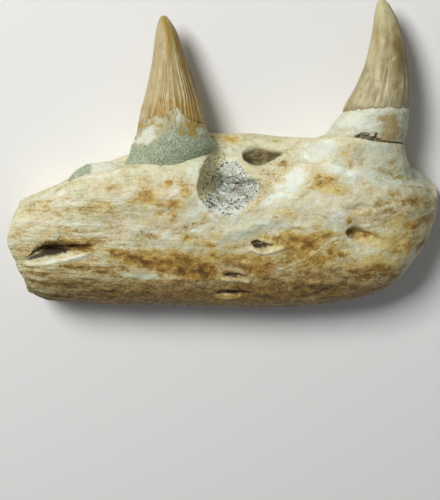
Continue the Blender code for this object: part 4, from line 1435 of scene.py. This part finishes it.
# Plotted in pixels, like the stains of the bone. The brown rows down the front edge, near X 400,
# are partly painted shade.
FRONT_BROWN_AND_SHADE = (
    (398, 46, 5, 9, 0, 0.9), (401, 62, 4, 14, 5, 0.9), (365, 70, 4, 8, -18, 0.6),
    (384, 62, 4, 16, -6, 0.35), (371, 92, 2.4, 14, -8, 0.4), (396, 26, 4, 5, -30, 0.4),
    (400, 105, 12, 7, 0, 0.5), (393, 72, 8, 8, 0, 0.3), (384, 111, 14, 2.4, 0, 0.9),
    (402, 90, 5, 14, 0, 0.5), (366, 108, 16, 3, -5, 0.5),
)
FRONT_PALE = (
    (378, 84, 2.8, 20, 6, 1.2), (362, 96, 2.4, 10, -12, 1.2), (388, 96, 1.8, 14, 4, 1.2),
    (384, 92, 1.2, 10, 2, 0.6), (356, 100, 1.8, 8, -16, 0.9), (370, 58, 4, 22, -8, 0.9),
    (395, 96, 1.2, 9, 2, 0.5), (383, 8, 6, 8, 0, 0.5),
)
(front_brown_and_shade,) = patches(front_plate, FRONT_BROWN_AND_SHADE, 1.3 * front_drift)
(front_pale,) = patches(front_plate, FRONT_PALE, 0.8 * front_drift)
front_masks = {
    "Pale": np.clip(front_pale * facing + 0.5 * smoothstep(0.02, 0.28, front_drift), 0, 1),
    "Flame": smoothstep(0.72, 0.95, front_share + 0.1 * front_drift),
    # Brown stains, and painted shade on the front side.
    "BrownAndShade": np.clip(np.maximum(front_brown_and_shade * facing, smoothstep(0.75, 1.0, front_side)), 0, 1),
    "Foot": 0.8 * smoothstep(0.05, 0.0, front_share + 0.02 * fractal(front_crown, 0.8, seed=385)),
    # Flute crests, painted paler as a highlight.
    "CrestHighlight": front_ridge * smoothstep(0.62, 0.4, front_share),
    "Scar": np.clip(chips * 6, 0, 1) * facing,
}
print("front crown:", front_crown.shape[:2])

# %% [markdown]
# Enamel is glossier than bone and slightly see-through, so its colour is built from warm layers
# under a smooth surface. Fine stripes follow the ridges, and the foot is crusted. The sides are
# painted paler and darker as painted light and shade, and the ridge crests as a painted highlight.

# %% The enamel material
# Middle, pale (on the rear crown's rear side painted light), flame, brown and shade (painted
# shade, with brown stains on the front crown), foot, crest highlight (painted) and scar colours of
# each crown.
REAR_ENAMEL_COLOURS = (
    (0.345, 0.255, 0.07), (0.47, 0.39, 0.21), (0.32, 0.205, 0.026), (0.195, 0.105, 0.012),
    (0.35, 0.215, 0.035), (0.60, 0.51, 0.29), (0.56, 0.47, 0.27),
)
FRONT_ENAMEL_COLOURS = (
    (0.315, 0.25, 0.095), (0.54, 0.49, 0.29), (0.52, 0.465, 0.255), (0.16, 0.10, 0.025),
    (0.25, 0.145, 0.045), (0.53, 0.485, 0.33), (0.42, 0.37, 0.22),
)


def enamel_material(name, colours, stripe_size, roughness):
    """Fossil enamel: warm layers by mask, painted light and shade, a painted highlight on the
    ridges, fine stripes up the tooth, and a soft gloss.
    """
    middle, pale, flame, brown_and_shade, foot, crest_highlight, scar = colours
    material, tree, shader = new_material(name, 0.4)
    stripes = grain_of(tree, stripe_size, (1, 14, 1), detail=5)
    mottle = grain_of(tree, 1.4, (1, 2, 1), detail=5)
    speckle = grain_of(tree, 0.3, detail=4)
    colour = layered(
        tree, middle,
        (0.5, mixed(tree, ramp_of(tree, stripes, 0.40, 0.60), middle, pale)),
        # On the rear crown the paler rear side is painted light.
        (times(tree, mask_of(tree, "Pale"), 0.85), pale),
        (times(tree, mask_of(tree, "Flame"), 0.85), flame),
        # Painted shade on the front side, and on the front crown brown stains too.
        (times(tree, mask_of(tree, "BrownAndShade"), 0.80), brown_and_shade),
        (broken_mask(tree, "Foot", speckle, 0.8), foot),
        # Painted highlight on the ridge crests.
        (times(tree, mask_of(tree, "CrestHighlight"), 0.62), crest_highlight),
        (broken_mask(tree, "Scar", speckle, 0.8), scar),
        (times(tree, ramp_of(tree, stripes, 0.62, 0.70), 0.35), brown_and_shade),
        (times(tree, ramp_of(tree, mottle, 0.52, 0.70), 0.40), brown_and_shade),
    )
    value_of(tree, shader.inputs["Base Color"], colour)
    value_of(tree, shader.inputs["Roughness"], roughness_of(tree, mottle, *roughness))
    bumped(tree, shader, ((stripes, 0.06, 0.5), (speckle, 0.04, 0.6)))
    return material


RIDGED = enamel_material("enamel_ridged", REAR_ENAMEL_COLOURS, 0.5, (0.34, 0.52))
WORN = enamel_material("enamel_worn", FRONT_ENAMEL_COLOURS, 0.9, (0.46, 0.66))
add_piece("rear_crown", rear_crown, rear_masks, RIDGED, "rear_tooth_crown")
add_piece("front_crown", front_crown, front_masks, WORN, "front_tooth_crown")

# %% [markdown]
# ## The front tooth's root
# Between the enamel and the jaw stands a short, chalky collar of root. A crack runs under it:
# closed at the rear, wide and crumbled in the middle, and a clean dark line at the front.


# %% Ovals of the root and of the rock
def oval_levels(levels, places, columns):
    """Ovals about the Y axis through measured levels, as a grid."""
    x, y, z, half_x, half_z, slope_x, slope_z = along(levels, places).T[:, :, None]
    angle = np.linspace(0, 2 * math.pi, columns, endpoint=False)[None, :]
    across, deep = half_x * np.cos(angle), half_z * np.sin(angle)
    return np.stack([x + across, y + slope_x * across + slope_z * deep, z + deep], axis=-1)


# X, Y, Z of the middle, half widths in X and Z, rise for each mm of X and of Z.
ROOT_LEVELS = np.array([
    (26.9, 3.4, 8.6, 6.6, 5.4, -0.13, 0.25),
    (27.0, 4.7, 8.6, 7.3, 5.8, -0.13, 0.25),
    (27.5, 5.7, 8.6, 7.15, 5.9, -0.11, 0.26),
    (27.8, 6.7, 8.6, 7.1, 5.85, -0.08, 0.27),
    (28.35, 8.2, 8.6, 6.7, 5.75, -0.04, 0.29),
    (28.9, 9.7, 8.6, 6.25, 5.6, 0.0, 0.31),
    (29.1, 10.8, 8.6, 5.8, 5.2, 0.0, 0.31),
])
ROOT_ROWS, ROOT_COLUMNS = 110, 320

root_places = np.linspace(0, len(ROOT_LEVELS) - 1, ROOT_ROWS)
root = oval_levels(ROOT_LEVELS, root_places, ROOT_COLUMNS)
above_crack = root_places[:, None] - 1.0
crumbled = smoothstep(24.0, 25.2, root[..., 0]) * smoothstep(30.0, 28.6, root[..., 0])
front_part = smoothstep(28.6, 29.6, root[..., 0])
edge_noise = fractal(root, 0.9, seed=410)
opening = 0.03 + crumbled * (0.80 + 0.7 * edge_noise) + 0.10 * front_part
reach_up = 0.25 + crumbled * (0.95 + 0.9 * edge_noise)
undercut = opening * smoothstep(reach_up, 0.0, above_crack)
root_relief = 0.10 * fractal(root, 1.8, seed=420) - 0.12 * pores(root, 0.9, 0.4, 0.5, seed=430)
root = puffed(root, root_relief - undercut)
root_plate = on_plate(root)
root_creep = 0.4 * fractal(root, 1.5, seed=440)
# Plotted in pixels, like the stains of the bone.
ROOT_CHALK = ((355, 122, 22, 8, -4, 0.9),)
ROOT_BROWNS = (
    (389, 124, 9, 13, -10, 0.75), (398, 133, 8, 9, 30, 0.6), (385, 136, 8, 5, 0, 0.5),
    (343, 131, 12, 3.4, 15, 0.35), (386, 118, 8, 4, 0, 0.7), (366, 131, 5, 2, 10, 0.3),
)
(root_brown,) = patches(root_plate, ROOT_BROWNS, root_creep)
(root_white,) = patches(root_plate, ROOT_CHALK, root_creep)
root_facing = grid_normals(root) @ BACK > 0
root_crack_dark = 0.8 * crumbled * smoothstep(1.1, 0.3, above_crack / reach_up)
root_crack_dark = root_crack_dark + 0.9 * front_part * smoothstep(0.30, 0.05, above_crack)
root_masks = {
    "Brown": np.clip(root_brown * root_facing, 0, 1),
    "ShadeAndDirt": np.clip(root_crack_dark, 0, 1),
    "Chalk": np.clip(root_white * root_facing, 0, 1),
}

# %% [markdown]
# The root is chalky: cream and white in patches, brown towards its front, and dark in the crack.

# %% The root material
ROOT_CREAM = (0.56, 0.54, 0.37)
ROOT_WHITE = (0.69, 0.72, 0.60)
ROOT_BROWN = (0.46, 0.36, 0.165)
CRACK_BROWN = (0.13, 0.095, 0.045)


def root_material():
    """Chalky root: white, stained brown in patches, with a crumbly surface."""
    material, tree, shader = new_material("root_chalky", 0.65)
    grain = grain_of(tree, 0.7, detail=6)
    speckle = grain_of(tree, 0.22, detail=3)
    colour = layered(
        tree, ROOT_CREAM,
        (ramp_of(tree, grain, 0.35, 0.65), ROOT_WHITE),
        (broken_mask(tree, "Chalk", grain, 0.6), ROOT_WHITE),
        (broken_mask(tree, "Brown", grain, 1.6), ROOT_BROWN),
        (times(tree, ramp_of(tree, speckle, 0.62, 0.75), 0.4), ROOT_BROWN),
        (broken_mask(tree, "ShadeAndDirt", speckle, 0.5), CRACK_BROWN),
    )
    value_of(tree, shader.inputs["Base Color"], colour)
    bumped(tree, shader, ((grain, 0.22, 0.7), (speckle, 0.08, 0.7)))
    return material


add_piece("front_root", root, root_masks, root_material(), "front_tooth_root")

# %% [markdown]
# ## Rock
# Sandy grey-green rock still grips the rear tooth and fills the broken socket behind it and the
# nerve canal. It is made of sand grains, so both its shape and its colour are grainy.

# %% The collar of rock round the rear tooth
# The same measures as for the root.
ROCK_LEVELS = np.array([
    (-10.8, -3.6, 8.4, 4.6, 3.8, 0.00, 0.00),
    (-11.1, -0.6, 8.4, 7.1, 5.4, 0.00, 0.00),
    (-10.3, 1.2, 8.5, 7.3, 6.0, 0.00, 0.00),
    (-9.2, 3.2, 8.6, 7.8, 6.4, 0.00, 0.15),
    (-9.3, 5.2, 8.6, 6.9, 6.2, 0.00, 0.35),
    (-9.4, 6.9, 8.6, 6.4, 5.9, 0.00, 0.50),
    (-9.45, 8.6, 8.6, 6.0, 5.5, 0.00, 0.47),
    (-9.5, 10.2, 8.55, 5.65, 5.2, 0.00, 0.40),
    (-9.5, 12.1, 8.5, 5.2, 4.8, 0.00, 0.33),
])
ROCK_ROWS, ROCK_COLUMNS = 170, 330
# The ragged top of the rock: height on the plate for places in X.
ROCK_TOP = np.array([(-16.6, 8.6), (-15.4, 9.0), (-13.2, 9.4), (-10.8, 9.9), (-9.2, 11.0),
                     (-8.2, 12.0), (-7.1, 10.4), (-5.5, 8.8), (-3.3, 8.2), (-2.0, 8.4)])

# Spacing, radius as a share of it, and share of places with a grain.
SAND_GRAINS = (0.62, 0.55, 0.9)

rock_places = np.linspace(0, len(ROCK_LEVELS) - 1, ROCK_ROWS)
rock = oval_levels(ROCK_LEVELS, rock_places, ROCK_COLUMNS)
rock_plate = on_plate(rock)
over_top = rock_plate[..., 1] - np.interp(rock_plate[..., 0], *ROCK_TOP.T)
over_top = over_top - 1.1 + 0.5 * fractal(rock, 1.5, seed=500, octaves=4)
crust = 0.10 - 0.50 * smoothstep(-0.3, 1.0, over_top)
sand = pores(rock, *SAND_GRAINS, seed=510)
sandy_part = smoothstep(-1.0, -3.2, over_top)
rock_relief = crust + 0.07 * sand * sandy_part + 0.10 * fractal(rock, 2.2, seed=520)
rock = puffed(rock, rock_relief)
rock_creep = 0.75 * fractal(rock, 1.5, seed=525, octaves=6)
# Plotted in pixels: above this line the rock gives way to the tooth's own crumbled foot.
SAND_TOP = ((112, 148), (140, 145), (157, 141), (165, 131), (178, 127), (190, 131), (215, 135))
FOOT_CHALK = (
    (148, 135, 12, 8, 15, 1.0), (141, 142, 6, 4, 0, 0.7), (176, 108, 2.6, 3, 0, 1.0),
    (178, 118, 3, 8, 0, 0.7), (202, 131, 4, 4, 0, 0.7), (172, 133, 4, 7, 0, 0.4),
    (160, 121, 4, 3, 0, 0.5),
)
FOOT_OCHRE = (
    (142, 126, 6, 5, 0, 0.9), (155, 124, 6, 4, 0, 0.6), (192, 124, 10, 5, 0, 1.0),
    (190, 134, 6, 4, 0, 0.8), (166, 126, 6, 4, 0, 0.5), (202, 122, 4, 5, 0, 0.9),
    (180, 131, 3, 4, 0, 0.6),
)
sand_top = np.interp(rock_plate[..., 0], *np.array([plotted(x, y) for x, y in SAND_TOP]).T)
(foot_chalk,) = patches(rock_plate, FOOT_CHALK, rock_creep)
(foot_ochre,) = patches(rock_plate, FOOT_OCHRE, rock_creep)
above_sand = rock_plate[..., 1] - sand_top + 1.2 * rock_creep
rock_masks = {
    "Tooth": smoothstep(-0.9, 1.1, above_sand),
    "Chalk": np.clip(foot_chalk, 0, 1),
    "Ochre": np.clip(foot_ochre, 0, 1),
}

# %% [markdown]
# The same rock fills the broken socket behind the rear tooth, as a lens, and the nerve canal, as
# a short plug with a domed end.

# %% The rock in the rear socket and in the canal
LENS_CENTRE = np.array([-24.0, -3.1, 8.6])
LENS_RADII = (5.6, 2.8, 4.8)
LENS_TURN = math.radians(12)
LENS_ROWS, LENS_COLUMNS = 110, 170
POLE_GAP = 0.02
# X of the plug's outer end, of the rim of its dome, and of its inner end.
PLUG_OUTER, PLUG_RIM, PLUG_INNER = -38.3, -37.5, -36.0
PLUG_ROWS, PLUG_COLUMNS = 30, 120
PLUG_START, PLUG_PLAY, PLUG_STEP = 0.05, 0.05, 0.1


def lens():
    """A ball stretched to three radii, its poles along X, and turned a little about Z."""
    polar = np.linspace(POLE_GAP, math.pi - POLE_GAP, LENS_ROWS)[:, None]
    angle = np.linspace(0, 2 * math.pi, LENS_COLUMNS, endpoint=False)[None, :]
    x = -LENS_RADII[0] * np.cos(polar) * np.ones_like(angle)
    y = LENS_RADII[1] * np.sin(polar) * np.cos(angle)
    z = LENS_RADII[2] * np.sin(polar) * np.sin(angle)
    cosine, sine = math.cos(LENS_TURN), math.sin(LENS_TURN)
    return np.stack([x * cosine - y * sine, x * sine + y * cosine, z], axis=-1) + LENS_CENTRE


def canal_plug():
    """A short oval rod in the canal: first the dome of its outer end, then its straight part."""
    angle = np.linspace(0, 2 * math.pi, PLUG_COLUMNS, endpoint=False)[None, :]
    rounded = np.sin(np.linspace(PLUG_START, math.pi / 2, PLUG_ROWS))
    share = np.concatenate([rounded, np.ones(PLUG_ROWS)])[:, None]
    inwards = 1 - np.cos(np.linspace(0, math.pi / 2, PLUG_ROWS))
    dome = PLUG_OUTER + (PLUG_RIM - PLUG_OUTER) * inwards
    x = np.concatenate([dome, np.linspace(PLUG_RIM + PLUG_STEP, PLUG_INNER, PLUG_ROWS)])
    reach = CANAL_RADII - PLUG_PLAY
    y = CANAL[0] + reach[0] * share * np.cos(angle)
    z = CANAL[1] + reach[1] * share * np.sin(angle)
    return np.stack(np.broadcast_arrays(x[:, None], y, z), axis=-1)


socket_rock = lens()
filling_relief = 0.22 * fractal(socket_rock, 2.0, seed=530)
filling_relief += 0.10 * pores(socket_rock, *SAND_GRAINS, seed=540) - 0.1
socket_rock = puffed(socket_rock, filling_relief)
plug = canal_plug()
plug = puffed(plug, 0.12 * fractal(plug, 1.4, seed=550))

# %% [markdown]
# Sand grains come from a Voronoi texture: each cell is one grain with a random colour. Most are
# grey-green, some are pale quartz and some nearly black.

# %% The rock material
SAND_GREEN = (0.43, 0.50, 0.355)
SAND_DARK = (0.22, 0.25, 0.155)
SAND_PALE = (0.66, 0.68, 0.52)
SAND_BLACK = (0.07, 0.075, 0.05)
FOOT_CREAM = (0.50, 0.47, 0.29)
FOOT_BROWN = (0.30, 0.25, 0.12)
FOOT_WHITE = (0.70, 0.72, 0.58)
FOOT_ORANGE = (0.41, 0.295, 0.085)


def rock_material():
    """Sandy rock: grey-green matrix with pale and dark grains."""
    material, tree, shader = new_material("rock_sandy", 0.85)
    distance, tint = cells_of(tree, 0.27)
    split = tree.nodes.new("ShaderNodeSeparateColor")
    tree.links.new(tint, split.inputs["Color"])
    broad = grain_of(tree, 2.2, detail=5)
    fine_grain = grain_of(tree, 0.3, detail=4)
    streaks = grain_of(tree, 0.6, (1, 5, 1), detail=5)
    colour = layered(
        tree, SAND_GREEN,
        (ramp_of(tree, fine_grain, 0.35, 0.68), SAND_DARK),
        (times(tree, ramp_of(tree, broad, 0.5, 0.75), 0.4), SAND_PALE),
        (times(tree, ramp_of(tree, split.outputs[0], 0.90, 0.94), 0.7), SAND_PALE),
        (times(tree, ramp_of(tree, split.outputs[1], 0.90, 0.94), 0.45), SAND_BLACK),
        (broken_mask(tree, "Tooth", fine_grain, 0.9),
         mixed(tree, ramp_of(tree, streaks, 0.45, 0.62), FOOT_CREAM, FOOT_BROWN)),
        (broken_mask(tree, "Ochre", streaks, 1.0), FOOT_ORANGE),
        (broken_mask(tree, "Chalk", streaks, 0.9), FOOT_WHITE),
    )
    value_of(tree, shader.inputs["Base Color"], colour)
    bumped(tree, shader, ((distance, 0.16, 0.6), (fine_grain, 0.12, 0.7)))
    return material


ROCK = rock_material()
filling_plate = on_plate(socket_rock)
scrubbed = smoothstep(plotted(86, 172)[0], plotted(96, 172)[0], filling_plate[..., 0])
filling_masks = {"Tooth": 0.0, "Chalk": scrubbed, "Ochre": 0.0}
plug_masks = {"Tooth": 0.0, "Chalk": 0.0, "Ochre": 0.0}
add_piece("rear_collar", rock, rock_masks, ROCK, "rear_tooth_rock")
add_piece("rear_filling", socket_rock, filling_masks, ROCK, "rear_socket_rock")
add_piece("canal_filling", plug, plug_masks, ROCK, "canal_rock")

# %% [markdown]
# ## Floor and light
# A plain pale table, one large soft lamp above and to the left, and a dim even sky. Colours are
# shown without a film curve, as a scanner would.

# %% The floor and the lamps
FLOOR_HALF = 800.0
FLOOR_PALE = (0.86, 0.86, 0.86)
LAMP_AIM = (0, -8, 8)
KEY_PLACE, KEY_SIZE = (-220, 300, 420), 190
KEY_POWER, KEY_COLOUR = 3.0, (1.0, 0.99, 0.965)
SKY_COLOUR, SKY_STRENGTH = (0.97, 0.99, 1.0), 0.14


def add_floor():
    """A plain square at the height of the floor."""
    signs = ((-1, -1), (1, -1), (1, 1), (-1, 1))
    corners = [(x * FLOOR_HALF * MM, y * FLOOR_HALF * MM, 0) for x, y in signs]
    mesh = bpy.data.meshes.new("floor")
    mesh.from_pydata(corners, [], [(0, 1, 2, 3)])
    material, _, shader = new_material("floor_pale", 0.9)
    value_of(material.node_tree, shader.inputs["Base Color"], FLOOR_PALE)
    mesh.materials.append(material)
    floor = bpy.data.objects.new("floor", mesh)
    bpy.context.scene.collection.objects.link(floor)


def add_key_lamp():
    """One square soft lamp, aimed at the fossil."""
    light = bpy.data.lights.new("key", "AREA")
    light.shape = "SQUARE"
    light.size = KEY_SIZE * MM
    light.energy = KEY_POWER
    light.color = KEY_COLOUR
    lamp = bpy.data.objects.new("key", light)
    lamp.location = Vector(KEY_PLACE) * MM
    aim = Vector(LAMP_AIM) * MM - lamp.location
    lamp.rotation_euler = aim.to_track_quat("-Z", "Y").to_euler()
    bpy.context.scene.collection.objects.link(lamp)


def set_sky():
    """A dim even light from all round, and colours without a film curve."""
    world = bpy.data.worlds.new("sky")
    world.use_nodes = True
    background = world.node_tree.nodes["Background"]
    background.inputs["Color"].default_value = (*SKY_COLOUR, 1)
    background.inputs["Strength"].default_value = SKY_STRENGTH
    bpy.context.scene.world = world
    bpy.context.scene.view_settings.view_transform = "Standard"


add_floor()
add_key_lamp()
set_sky()
